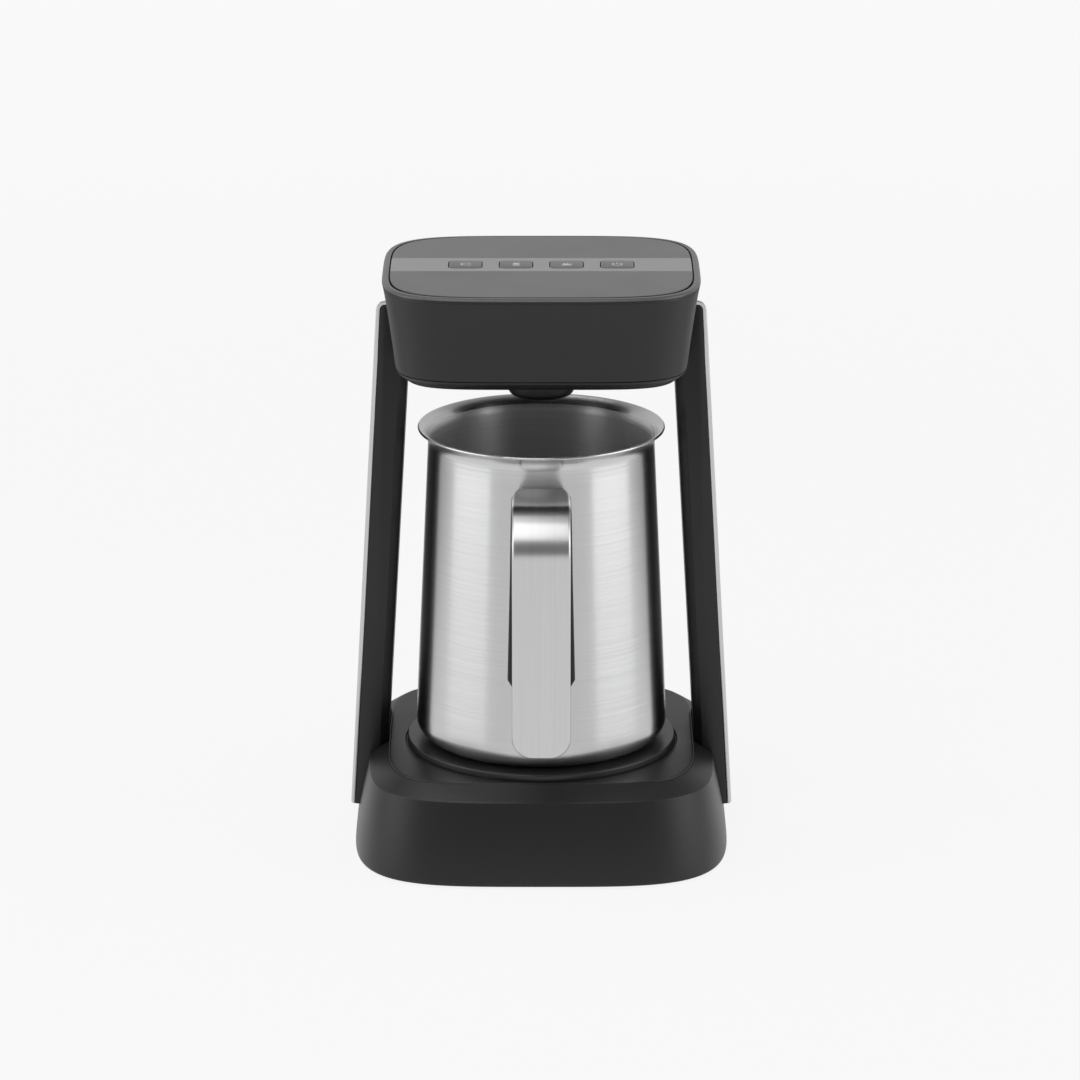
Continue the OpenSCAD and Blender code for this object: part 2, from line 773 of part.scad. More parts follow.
module head_shell() color(BLACK) {
    difference() {
        loft(head_outer());
        loft(head_inner());
        loft([head_ring(-rim_w, panel_z), head_ring(-rim_w, head_top + 1)]);
        key_holes(ceiling_z - 1, ceiling_t + 2);
        for (side = [-1, 1]) on_arm(side) arm_room(fit);
    }
    difference() {
        union() {
            corners(head_screw_x, head_screw_y) post(head_post_r, cover_floor, ceiling_z + 0.2);
            corners(circuit_post_x, circuit_post_y, band_back)
                post(circuit_post_r, circuit_z + circuit_t, ceiling_z + 0.2);
            intersection() {
                for (side = [-1, 1]) on_arm(side) arm_pad(arm_len - head_pad_low, arm_len + head_pad_high);
                translate([-head_w, -head_d, shell_z])
                    cube([2 * head_w, 2 * head_d, ceiling_z + 0.2 - shell_z]);
            }
        }
        corners(head_screw_x, head_screw_y)
            post(screw_r + 0.05, cover_floor - 1, cover_floor + cover_screw_len);
        corners(circuit_post_x, circuit_post_y, band_back)
            post(board_screw_r + 0.05, circuit_z, circuit_z + circuit_t + 4);
    }
}

module head_cover() color(BLACK)
    difference() {
        loft([
            head_ring(-head_taper - head_bevel - 0.3, head_z),
            head_ring(-head_taper - head_bevel + 0.3, head_z + 0.25),
            head_ring(-head_taper - 0.2, shell_z - 0.5), head_ring(-head_taper, shell_z - 0.05),
        ]);
        loft([
            head_ring(-head_taper - head_bevel - head_wall * 0.6, cover_floor),
            head_ring(-head_taper - head_wall, shell_z + 1),
        ]);
        post(boss_r + 0.1, head_z - 1, head_top);
        corners(head_screw_x, head_screw_y) {
            post(screw_r + screw_fit, head_z - 1, head_top);
            post(screw_head_r + screw_fit, head_z - 1, cover_floor - 0.9);
        }
        for (side = [-1, 1]) {
            translate([side * flange_screw_x, 0, 0]) post(flange_screw_r + 0.05, head_z + 0.6, head_top);
            on_arm(side) arm_room(fit);
        }
    }

module head_screws() color(STEEL)
    corners(head_screw_x, head_screw_y)
        screw_up(screw_r, screw_head_r, cover_floor - 0.9 - head_z - 0.1, cover_floor - 0.9,
            cover_screw_len);

module key_holes(z0, h)
    for (x = [-1.5:1.5]) translate([x * key_pitch, band_back, z0])
        rounded_slab(key_w + 2 * key_gap, key_d + 2 * key_gap, h, key_round + key_gap);

module panel_blank() loft([head_ring(panel_in, panel_z), head_ring(panel_in, panel_z + panel_t)]);

// The strip across the panel that the band fills
module band_room()
    translate([-head_w, band_back - band_d / 2, panel_z + panel_t - band_t])
        cube([2 * head_w, band_d, band_t + 1]);

module top_panel() color(PANEL)
    difference() {
        panel_blank();
        band_room();
        key_holes(panel_z - 1, panel_t + 2);
    }

module panel_band() color(BAND)
    difference() {
        intersection() {
            panel_blank();
            band_room();
        }
        key_holes(panel_z - 1, panel_t + 2);
    }

module key(index) color(PANEL)
    translate([(index - 2.5) * key_pitch, band_back, 0]) {
        translate([0, 0, key_lip_z]) rounded_slab(key_w, key_d, key_top - key_lip_z, key_round);
        translate([0, 0, key_lip_z])
            rounded_slab(key_w + 2 * key_lip, key_d + 2 * key_lip, key_lip_t, key_round);
        post(key_stem_r, key_stem_z, key_lip_z + 0.1);
    }

module key_1() key(1);
module key_2() key(2);
module key_3() key(3);
module key_4() key(4);

module key_switches() color(DARK)
    for (x = [-1.5:1.5]) translate([x * key_pitch, band_back, 0]) {
        z0 = circuit_z + circuit_t;
        translate([-switch_w / 2, -switch_w / 2, z0]) cube([switch_w, switch_w, switch_h]);
        post(plunger_r, z0 + switch_h, z0 + switch_h + plunger_h);
    }

module control_board() color(BOARD)
    translate([0, band_back, 0]) difference() {
        translate([-circuit_w / 2, -circuit_d / 2, circuit_z]) cube([circuit_w, circuit_d, circuit_t]);
        corners(circuit_post_x, circuit_post_y)
            post(board_screw_r + screw_fit, circuit_z - 1, circuit_z + circuit_t + 1);
    }

module control_board_screws() color(STEEL)
    corners(circuit_post_x, circuit_post_y, band_back)
        screw_up(board_screw_r, board_screw_head_r, board_screw_head_h, circuit_z,
            circuit_t + circuit_screw_hold);

module buzzer() color(DARK)
    translate([-circuit_w / 2 + 18, band_back - 12, 0]) post(buzzer_r, circuit_z - buzzer_h, circuit_z);

// ---- Sensor ----

module sensor_boss() color(BLACK) {
    inner_r = boss_r - boss_wall;
    seat_z = boss_z + lens_in + lens_t;
    difference() {
        rotate_extrude() polygon([
            [0, boss_z], [boss_r - boss_edge - 0.3, boss_z], [boss_r - 0.3, boss_z + boss_edge],
            [boss_r, boss_z + boss_edge + 3], [boss_r, cover_floor], [flange_r, cover_floor],
            [flange_r, cover_floor + flange_t], [0, cover_floor + flange_t],
        ]);
        post(lens_r + 0.1, boss_z - 1, seat_z);
        post(lens_r - shelf_w, boss_z - 1, head_top);
        post(inner_r, seat_z + 1.2, head_top);
        for (side = [-1, 1]) translate([side * flange_screw_x, 0, 0])
            post(flange_screw_r + screw_fit, head_z, head_top);
    }
    difference() {
        post(inner_r + 0.1, sensor_z - 1.6, sensor_z);
        post(sensor_disc_r - shelf_w, sensor_z - 3, sensor_z + 1);
    }
}

module sensor_lens() color(DARK) post(lens_r, boss_z + lens_in, boss_z + lens_in + lens_t);

module sensor_board() color(BOARD) {
    post(sensor_disc_r, sensor_z, sensor_z + 1.2);
    post(sensor_can_r, sensor_z - sensor_can_h, sensor_z + 0.1);
}

module boss_screws() color(STEEL)
    for (side = [-1, 1]) translate([side * flange_screw_x, 0, 0]) {
        post(flange_screw_head_r, cover_floor + flange_t, cover_floor + flange_t + 1.2);
        post(flange_screw_r, cover_floor + flange_t - flange_screw_len, cover_floor + flange_t + 0.1);
    }

// ---- Jug ----

lip_steps = 6;
corner_steps = 6;

// Half section of the jug's skin, from the bottom edge up to the lip, moved in by s
function jug_skin(s) = concat(
    [for (k = [0:corner_steps])
        let (t = 90 * k / corner_steps)
        [belly_r - jug_round + (jug_round - s) * sin(t), jug_z + jug_round - (jug_round - s) * cos(t)]],
    [for (k = [0:lip_steps])
        let (t = lip_turn * k / lip_steps, share = (1 - cos(t)) / (1 - cos(lip_turn)))
        [neck_r + (rim_r - neck_r) * share - s * cos(t),
            neck_z + (flare_h - jug_wall) * sin(t) / sin(lip_turn) + s * sin(t)]]
);

module jug_body() color(STEEL) {
    skin = jug_skin(0);
    inner = jug_skin(jug_wall);
    rotate_extrude() polygon(concat(
        [[0, jug_z]], skin,
        [for (k = [len(inner) - 1:-1:1]) [inner[k][0], max(inner[k][1], jug_z + jug_floor)]],
        [[belly_r - jug_round, jug_z + jug_floor], [0, jug_z + jug_floor]]
    ));
}

// Everything inside the jug's outer wall, with a gap added
module jug_core(gap) {
    low = jug_z + jug_round;
    translate([0, 0, low]) cylinder(r1 = belly_r + gap, r2 = neck_r + gap, h = neck_z - low);
}

// Steel angle welded to the jug that the handle is screwed to
module jug_bracket() color(STEEL)
    difference() {
        union() {
            translate([-bracket_w / 2, -wall_at_root - bracket_t, bracket_z])
                cube([bracket_w, bracket_t + 2, bracket_h]);
            translate([-bracket_w / 2, -wall_at_root - tongue_len, tongue_z])
                cube([bracket_w, tongue_len + 1, bracket_t]);
        }
        jug_core(0.05);
        for (side = [-1, 1]) translate([side * handle_screw_x, -handle_screw_y, 0])
            post(handle_screw_r + 0.05, tongue_z - 5, tongue_z + bracket_t + 5);
    }

// Strap section: a flat bar with rounded edges on its outer side, x across and y outwards
module strap_section() {
    x = strap_w / 2 - strap_edge;
    translate([-strap_w / 2, 0]) square([strap_w, strap_t - strap_edge]);
    translate([-x, 0]) square([2 * x, strap_t]);
    for (side = [-1, 1]) translate([side * x, strap_t - strap_edge]) circle(strap_edge);
}

module handle_strap() color(STEEL) {
    bend_y = strap_reach - strap_bend;
    bend_z = strap_top - strap_bend;
    inner = strap_bend - strap_t;
    difference() {
        translate([0, 0, strap_top - strap_t]) rotate([90, 0, 0]) linear_extrude(bend_y) strap_section();
        jug_core(0.1);
    }
    translate([0, -bend_y, bend_z]) rotate([0, 90, 0]) rotate([0, 0, -90])
        rotate_extrude(angle = -90) translate([inner, 0]) rotate(-90) strap_section();
    translate([0, -bend_y - inner, strap_end]) intersection() {
        rotate([0, 0, 180]) linear_extrude(bend_z - strap_end) strap_section();
        rotate([90, 0, 0]) translate([0, 0, -1]) linear_extrude(strap_t + 2) {
            translate([-strap_w / 2, strap_corner]) square([strap_w, bend_z - strap_end - strap_corner]);
            translate([-strap_w / 2 + strap_corner, 0])
                square([strap_w - 2 * strap_corner, strap_corner + 1]);
            for (side = [-1, 1]) translate([side * (strap_w / 2 - strap_corner), strap_corner])
                circle(strap_corner);
        }
    }
}

// Side outline of the grip: y from the jug's axis, z up
function grip_side(top, bend, soft) = concat(
    [[-grip_front, grip_end]],
    [for (t = [180:-10:90]) [-grip_front + bend * (1 + cos(t)), top - bend * (1 - sin(t))]],
    [[-wall_at_root + 2, top], [-wall_at_root + 2, root_block_z]],
    [for (t = [90:10:180]) [-grip_back + soft * (1 + cos(t)), root_block_z - soft * (1 - sin(t))]],
    [[-grip_back, grip_end + 2], [-grip_back - 2, grip_end]]
);

// Black grip: a block at the jug, and a liner down the back of the strap that widens downwards
module handle_grip() color(DARK) {
    top = strap_top - strap_t - 0.05;
    top_half = strap_w / 2 + 0.2;
    low_half = strap_w / 2 + grip_out;
    cut = 4;
    difference() {
        intersection() {
            translate([0, -grip_front - 1, 0]) rotate([90, 0, 180]) linear_extrude(grip_front) polygon([
                [-top_half, top], [top_half, top],
                [low_half, grip_end + cut], [low_half - cut * 0.6, grip_end],
                [-low_half + cut * 0.6, grip_end], [-low_half, grip_end + cut],
            ]);
            rotate([90, 0, 90]) linear_extrude(2 * low_half + 2, center = true)
                polygon(grip_side(top, strap_bend - strap_t, 6));
        }
        jug_core(0.1);
        translate([-bracket_w / 2 - fit, -wall_at_root - tongue_len - fit, tongue_z - fit])
            cube([bracket_w + 2 * fit, tongue_len + 2, bracket_t + 2 * fit]);
        translate([-bracket_w / 2 - fit, -wall_at_root - bracket_t - fit, bracket_z - fit])
            cube([bracket_w + 2 * fit, 4, bracket_h + 2 * fit]);
        for (side = [-1, 1]) translate([side * handle_screw_x, -handle_screw_y, 0]) {
            post(handle_screw_r + screw_fit, root_block_z - 2, tongue_z + 4);
            post(handle_screw_head_r + screw_fit, root_block_z - 2, root_block_z + 3);
        }
    }
}

module handle_screws() color(STEEL)
    for (side = [-1, 1]) translate([side * handle_screw_x, -handle_screw_y, 0])
        screw_up(handle_screw_r, handle_screw_head_r, screw_head_h, root_block_z + 3,
            tongue_z + bracket_t - root_block_z - 2.5);

base_shell();
base_cover();
base_feet();
base_screws();
warming_plate();
plate_seal();
plate_carrier();
carrier_screws();
heating_element();
thermostat();
power_board();
power_board_parts();
power_board_screws();
cord_inlet();
left_arm();
right_arm();
left_arm_plate();
right_arm_plate();
arm_screws();
wire_loom();
head_shell();
head_cover();
head_screws();
top_panel();
panel_band();
key_1();
key_2();
key_3();
key_4();
key_switches();
control_board();
control_board_screws();
buzzer();
sensor_boss();
sensor_lens();
sensor_board();
boss_screws();
jug_body();
jug_bracket();
handle_strap();
handle_grip();
handle_screws();
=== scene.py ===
"""Electric turkish coffee maker: a heated base, two leaning arms, a head with four keys and a steel jug."""

import math

import bmesh
import bpy
from mathutils import Matrix, Vector


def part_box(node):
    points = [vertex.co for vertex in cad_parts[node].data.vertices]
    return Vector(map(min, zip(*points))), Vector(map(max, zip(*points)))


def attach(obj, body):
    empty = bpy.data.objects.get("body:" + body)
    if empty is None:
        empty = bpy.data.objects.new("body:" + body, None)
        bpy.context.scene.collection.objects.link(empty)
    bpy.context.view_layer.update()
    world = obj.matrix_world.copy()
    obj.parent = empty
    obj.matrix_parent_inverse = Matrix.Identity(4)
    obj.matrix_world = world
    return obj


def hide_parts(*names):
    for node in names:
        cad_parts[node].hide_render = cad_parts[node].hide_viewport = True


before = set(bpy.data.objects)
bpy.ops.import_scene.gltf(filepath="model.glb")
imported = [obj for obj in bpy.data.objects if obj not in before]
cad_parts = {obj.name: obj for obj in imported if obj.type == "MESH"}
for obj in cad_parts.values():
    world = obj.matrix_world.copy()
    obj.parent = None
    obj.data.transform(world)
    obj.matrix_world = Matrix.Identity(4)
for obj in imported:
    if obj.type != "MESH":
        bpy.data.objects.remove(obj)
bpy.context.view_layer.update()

bl_info = {
    "name": "Turkish coffee maker",
    "version": (1, 0, 0),
    "blender": (4, 5, 0),
    "location": "View3D > Sidebar > Coffee maker",
    "description": "Models and finishes an electric turkish coffee maker round its packed frame",
    "category": "Object",
}

MM = 0.001

BASE_LOW, BASE_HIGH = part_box("base_shell")
HEAD_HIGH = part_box("head_shell")[1]
COVER_LOW, COVER_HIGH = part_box("head_cover")
PANEL_LOW, PANEL_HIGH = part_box("top_panel")
BAND_LOW, BAND_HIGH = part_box("panel_band")
PLATE_LOW, PLATE_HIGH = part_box("warming_plate")
JUG_LOW, JUG_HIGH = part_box("jug_body")
STRAP_LOW, STRAP_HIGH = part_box("handle_strap")
GRIP_LOW, GRIP_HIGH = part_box("handle_grip")
BOSS_LOW, BOSS_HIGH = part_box("sensor_boss")
ARM_PLATE_LOW, ARM_PLATE_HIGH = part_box("right_arm_plate")

SPARE = 1 * MM  # how far a cutting tool stands past what it cuts
MOSTLY = 0.9  # share of a direction along an axis from which an edge or a face counts as lying that way
SAME = 0.1 * MM  # places closer than this along an axis count as one
TOUCHING = 0.001 * MM  # vertices closer than this are merged
CORNER_STEPS = 24  # steps round each corner of a ring
RINGS_APART = 0.25  # metres between rings while they are bridged
CAP_INSET = 1 * MM  # width of the border round a filled end
TURN_POINTS = 160  # points round a turned piece
RECESS_POINTS = 32
PANEL_FULLNESS = 4.25
PLATE_LAP = 1.6 * MM  # how far an arm plate's bent top reaches past the head's side
BOSS_FLANGE = 4 * MM  # how far the boss's hidden flange stands out
KEY_WIDTH = 12.1 * MM
KEY_DEPTH = 11.4 * MM
KEY_ROUND = 2.2 * MM
JUG_HEIGHT = 119.7 * MM
JUG_GAP = 0.1 * MM  # gap between the jug's wall and what is screwed to it
STRAP_ROOT = -41 * MM  # where the strap and the grip end, inside the jug's outline before they are cut
GRIP_ROOT = -39 * MM


# ---- Sizes and colours a user would change ----


def length(name, description, millimetres):
    """A property that holds a length."""
    return bpy.props.FloatProperty(
        name=name, description=description, default=millimetres * MM, min=0.0,
        unit="LENGTH", subtype="DISTANCE",
    )


def number(name, description, default, low=0.0, high=1.0):
    """A property that holds a plain number."""
    return bpy.props.FloatProperty(name=name, description=description, default=default, min=low, max=high)


def shade(name, description, default):
    """A property that holds a colour."""
    return bpy.props.FloatVectorProperty(
        name=name, description=description, default=default, size=3, min=0.0, max=1.0, subtype="COLOR"
    )


class CasingSizes(bpy.types.PropertyGroup):
    """Sizes of the base and the head."""

    deck_half_width: length("Deck half width", "Half the width of the flat deck", 56.7)
    deck_half_depth: length("Deck half depth", "Half the depth of the flat deck", 58.6)
    deck_back: length("Deck back", "How far the deck's middle lies behind the jug's axis", 6.2)
    deck_fullness: number("Deck fullness", "How square the deck's outline is, 2 being round", 5.0, 2.0, 8.0)
    slope_width: length("Slope width", "Width of the sloped border round the deck", 7.8)
    slope_drop: length("Slope drop", "Drop of the sloped border", 5.0)
    wall_flare: length("Wall flare", "How far the wall spreads from the border to the table", 5.4)
    base_round: length("Base round", "Radius of the edge round the bottom", 0.8)
    base_wall: length("Base wall", "Wall of the base casing", 2.5)
    plate_gap: length("Plate gap", "Gap between the warming plate and the deck", 1.0)
    head_fullness: number("Head fullness", "How square the head's outline is, 2 being round", 4.3, 2.0, 8.0)
    head_taper: length("Head taper", "How much narrower each side of the head is at its bottom", 4.6)
    head_bevel: length("Head bevel", "Size of the bevel round the head's bottom", 3.8)
    head_wall: length("Head wall", "Wall of the head's casing", 2.2)
    rim_width: length("Rim width", "Width of the rim round the top panel", 2.5)
    key_gap: length("Key gap", "Gap round a key", 0.3)


class ArmSizes(bpy.types.PropertyGroup):
    """Sizes of the arms."""

    plate: length("Plate", "Thickness of the steel plate", 1.6)
    beam: length("Beam", "Thickness of the black beam", 11.2)
    chamfer: length("Chamfer", "Chamfer on the beam's inner edges", 3.0)
    bend: length("Bend", "Radius of the plate's bend", 3.5)
    proud: length("Proud", "How far an arm stands out from the head's side", 3.9)
    top_slope: number("Top slope", "Slope of an arm's upper end to the rear, in degrees", 16.0, 0.0, 45.0)


class JugSizes(bpy.types.PropertyGroup):
    """Sizes of the jug and its handle."""

    rim_radius: length("Rim radius", "Outer radius at the rim", 45.5)
    neck_radius: length("Neck radius", "Outer radius at the neck", 42.0)
    belly_radius: length("Belly radius", "Outer radius above the bottom edge", 46.9)
    flare: length("Flare", "Height of the flared rim", 6.4)
    foot_round: length("Foot round", "Radius of the bottom edge", 7.0)
    wall: length("Wall", "Thickness of the wall", 1.0)
    floor: length("Floor", "Thickness of the bottom", 2.0)
    strap_thickness: length("Strap thickness", "Thickness of the handle's strap", 3.0)
    strap_bend: length("Strap bend", "Outer radius of the strap's bend", 17)
    strap_corner: length("Strap corner", "Radius of the strap's lower corners", 7.5)
    grip_thickness: length("Grip thickness", "Thickness of the grip behind the strap", 6.8)
    root_height: length("Root height", "Height of the block at the jug", 15.0)


class Finishes(bpy.types.PropertyGroup):
    """Colours of the surfaces."""

    casing: shade("Casing", "Black moulded casing", (0.0065, 0.0065, 0.007))
    grip: shade("Grip", "Black moulded grip", (0.006, 0.006, 0.0065))
    panel: shade("Panel", "Dark grey top panel", (0.072, 0.072, 0.073))
    band: shade("Band", "Metallic band across the panel", (0.3, 0.3, 0.303))
    key: shade("Key", "Key caps", (0.088, 0.088, 0.089))
    symbol: shade("Symbol", "Symbols printed on the keys", (0.5, 0.5, 0.5))
    steel: shade("Steel", "Brushed stainless steel", (0.6, 0.6, 0.605))
    plate: shade("Plate", "Coated warming plate", (0.012, 0.012, 0.0125))


class Studio(bpy.types.PropertyGroup):
    """Camera and background."""

    distance: length("Distance", "Distance from the camera to its target", 1938.4)
    target_height: length("Target height", "Height of the camera's target", 114.4)
    pitch: number("Pitch", "How far the camera looks down, in degrees", 16.65, 0.0, 90.0)
    lens: number("Lens", "Focal length in millimetres", 173.33, 10.0, 500.0)
    shift: number("Shift", "Sideways shift of the frame", -0.0012, -0.1, 0.1)
    background: number("Background", "Brightness of the background", 0.947, 0.0, 1.0)


GROUPS = {
    "coffee_casing": CasingSizes,
    "coffee_arms": ArmSizes,
    "coffee_jug": JugSizes,
    "coffee_finishes": Finishes,
    "coffee_studio": Studio,
}


# ---- Modelling helpers ----


def to_object_mode():
    """Leaves edit mode and deselects everything."""
    if bpy.context.object and bpy.context.object.mode != "OBJECT":
        bpy.ops.object.mode_set(mode="OBJECT")
    bpy.ops.object.select_all(action="DESELECT")


def begin(name):
    """Adds an empty mesh object and opens it in edit mode."""
    to_object_mode()
    bpy.ops.mesh.primitive_plane_add(size=0.01, location=(0, 0, 0))
    piece = bpy.context.object
    piece.name = name
    piece.data.name = name
    bpy.ops.object.mode_set(mode="EDIT")
    bpy.ops.mesh.select_mode(type="VERT")
    bpy.ops.mesh.select_all(action="SELECT")
    bpy.ops.mesh.delete(type="VERT")
    return piece


def pick(kind, test):
    """In edit mode, selects the vertices, edges or faces that pass the test, and nothing else."""
    bpy.ops.mesh.select_mode(type=kind)
    bpy.ops.mesh.select_all(action="DESELECT")
    mesh = bmesh.from_edit_mesh(bpy.context.object.data)
    items = {"VERT": mesh.verts, "EDGE": mesh.edges, "FACE": mesh.faces}[kind]
    for item in items:
        if test(item):
            item.select_set(True)
    mesh.select_flush_mode()
    bmesh.update_edit_mesh(bpy.context.object.data)


def middle(edge):
    """Middle of an edge."""
    return (edge.verts[0].co + edge.verts[1].co) / 2


def runs_along(edge, axis):
    """Whether an edge runs along the axis x, y or z."""
    direction = (edge.verts[1].co - edge.verts[0].co).normalized()
    return abs(getattr(direction, axis)) > MOSTLY


def close_to(a, b):
    """Whether two places along an axis agree."""
    return abs(a - b) < SAME


def outward():
    """In edit mode, merges doubles and turns all faces outwards."""
    bpy.ops.mesh.select_mode(type="VERT")
    bpy.ops.mesh.select_all(action="SELECT")
    bpy.ops.mesh.remove_doubles(threshold=TOUCHING)
    bpy.ops.mesh.normals_make_consistent(inside=False)


def choose(piece):
    """In object mode, makes a piece the active one and the only one selected."""
    to_object_mode()
    piece.select_set(True)
    bpy.context.view_layer.objects.active = piece


def reshape(piece, kind, **settings):
    """Adds a modifier to a piece and applies it."""
    choose(piece)
    modifier = piece.modifiers.new(kind.title(), kind)
    for key, value in settings.items():
        setattr(modifier, key, value)
    bpy.ops.object.modifier_apply(modifier=modifier.name)


def smooth(piece):
    """Rounds a piece with a subdivision surface."""
    reshape(piece, "SUBSURF", levels=1, render_levels=1)


def soften(piece, width, segments=3, angle=30.0):
    """Rounds a piece's sharp edges."""
    sharp = {"limit_method": "ANGLE", "angle_limit": math.radians(angle)}
    reshape(piece, "BEVEL", width=width, segments=segments, use_clamp_overlap=False, **sharp)


def cut(piece, *tools, keep="DIFFERENCE"):
    """Cuts a piece with other closed pieces, which are then removed."""
    for tool in tools:
        reshape(piece, "BOOLEAN", operation=keep, solver="EXACT", object=tool)
        choose(tool)
        bpy.ops.object.delete()


def coat(piece, main, second=None, where=None):
    """Gives a piece its main finish, and a second one on the faces that pass a test."""
    to_object_mode()
    piece.data.materials.clear()
    piece.data.materials.append(finish(main))
    if second:
        piece.data.materials.append(finish(second))
        for face in piece.data.polygons:
            face.material_index = 1 if where(face) else 0


def hand_over(piece, body, *nodes, angle=35.0, slot=None):
    """Gives a finished piece its shading and its body, and hides the CAD nodes that it stands for."""
    choose(piece)
    bpy.ops.object.transform_apply(location=True, rotation=True, scale=True)
    bpy.ops.object.shade_smooth_by_angle(angle=math.radians(angle))
    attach(piece, body)
    if nodes:
        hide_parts(*nodes)
    to_object_mode()


class Ring:
    """A rounded rectangle: half sizes, fullness (2 is round), height and place behind the jug's axis."""

    def __init__(self, half_x, half_y, fullness, z, back=0.0):
        self.half_x = half_x
        self.half_y = half_y
        self.fullness = fullness
        self.z = z
        self.back = back

    def grown(self, by, z):
        """The same outline moved out by a distance all round, at another height."""
        size = (self.half_x + self.half_y) / 2
        corner = size * 2 ** (0.5 - 1 / self.fullness) + by
        fullness = 1 / (0.5 - math.log2(corner / (size + by)))
        return Ring(self.half_x + by, self.half_y + by, fullness, z, self.back)

    def stepped(self, by, z, *moves):
        """Outlines along a section: each move gives millimetres out from a distance and up from a height."""
        return [self.grown(by + out * MM, z + up * MM) for out, up in moves]


def disc(radius, z):
    """A round ring."""
    return Ring(radius, radius, 2.0, z)


def add_ring(ring):
    """In edit mode, adds a ring as a flat face with its four corners bevelled, and selects it."""
    bpy.ops.mesh.select_all(action="DESELECT")
    bpy.ops.mesh.primitive_plane_add(size=2, location=(0, ring.back, ring.z))
    bpy.ops.transform.resize(value=(ring.half_x, ring.half_y, 1), center_override=(0, ring.back, ring.z))
    bpy.ops.mesh.bevel(
        offset_type="PERCENT", offset_pct=50, segments=CORNER_STEPS, affect="VERTICES",
        profile=math.exp(-2 * math.log(2) / ring.fullness),
    )
    bpy.ops.mesh.remove_doubles(threshold=TOUCHING)


def loft(name, rings, closed=True):
    """Bridges rings one after the other; closed joins the last to the first, otherwise the ends are filled.

    The rings stand well apart while they are bridged, because rings in one plane can be joined the wrong
    way round; then each is moved to its height.
    """
    piece = begin(name)
    for index, ring in enumerate(rings):
        add_ring(Ring(ring.half_x, ring.half_y, ring.fullness, index * RINGS_APART, ring.back))
        mark_ring(piece, index)
        bpy.ops.mesh.delete(type="ONLY_FACE")

    count = len(rings)
    pairs = [(k, k + 1) for k in range(count - 1)]
    if closed:
        pairs.append((count - 1, 0))
    for pair in pairs:
        pick("EDGE", in_rings(piece, *pair))
        bpy.ops.mesh.bridge_edge_loops()
    for index, ring in enumerate(rings):
        pick("EDGE", in_rings(piece, index))
        bpy.ops.transform.translate(value=(0, 0, ring.z - index * RINGS_APART))
    if not closed:
        for end in (0, count - 1):
            pick("EDGE", in_rings(piece, end))
            bpy.ops.mesh.edge_face_add()
            bpy.ops.mesh.inset(thickness=CAP_INSET)
    outward()
    to_object_mode()
    return piece


def mark_ring(piece, index, moved=None):
    """In edit mode, gives the selected vertices their ring's number, and moves them if asked."""
    mesh = bmesh.from_edit_mesh(piece.data)
    layer = mesh.verts.layers.int.get("ring") or mesh.verts.layers.int.new("ring")
    for vertex in mesh.verts:
        if vertex.select:
            vertex[layer] = index
            if moved:
                vertex.co = moved(vertex.co)
    bmesh.update_edit_mesh(piece.data)


def in_rings(piece, *wanted):
    """A test for the edges that lie in the given rings of a piece in edit mode."""
    layer = bmesh.from_edit_mesh(piece.data).verts.layers.int["ring"]
    return lambda edge: edge.verts[0][layer] == edge.verts[1][layer] and edge.verts[0][layer] in wanted


def turned(name, profile, points=TURN_POINTS):
    """Draws out a circle along a profile of (radius, height); a radius of 0 closes it in a pole."""
    piece = begin(name)
    radius, height = profile[0]
    low = height
    started_at_pole = radius == 0
    if started_at_pole:
        radius = profile[1][0] * 0.02
    pole = radius * 1.5
    start = (0, 0, low)
    bpy.ops.mesh.primitive_circle_add(vertices=points, radius=radius, fill_type="NOTHING", location=start)
    for next_radius, next_height in profile[1:]:
        bpy.ops.mesh.extrude_edges_move(TRANSFORM_OT_translate={"value": (0, 0, next_height - height)})
        if next_radius == 0:
            bpy.ops.mesh.merge(type="CENTER")
        else:
            scale = next_radius / radius
            bpy.ops.transform.resize(value=(scale, scale, 1), center_override=(0, 0, next_height))
            radius = next_radius
        height = next_height
    if started_at_pole:
        pick("VERT", lambda v: close_to(v.co.z, low) and math.hypot(v.co.x, v.co.y) < pole)
        bpy.ops.mesh.merge(type="CENTER")
    outward()
    to_object_mode()
    return piece


def block(name, low, high):
    """Adds a box between two corners and leaves it open in edit mode."""
    piece = begin(name)
    centre = (Vector(low) + Vector(high)) / 2
    size = Vector(high) - Vector(low)
    bpy.ops.mesh.primitive_cube_add(size=1, location=centre)
    bpy.ops.transform.resize(value=size, center_override=centre)
    return piece


def rounded_block(name, centre, width, depth, low, high, corner):
    """A box with rounded upright edges, in object mode."""
    half = Vector((width / 2, depth / 2, 0))
    bottom = Vector((centre[0], centre[1], low)) - half
    top = Vector((centre[0], centre[1], high)) + half
    piece = block(name, bottom, top)
    pick("EDGE", lambda e: runs_along(e, "z"))
    bpy.ops.mesh.bevel(offset=corner, segments=8, affect="EDGES", clamp_overlap=True)
    outward()
    to_object_mode()
    return piece


def cut_recesses(piece, spots, profile):
    """Cuts a turned recess at each spot."""
    for x, y in spots:
        recess = turned("recess_tool", profile, RECESS_POINTS)
        recess.location = (x, y, 0)
        cut(piece, recess)


# ---- Shading helpers ----


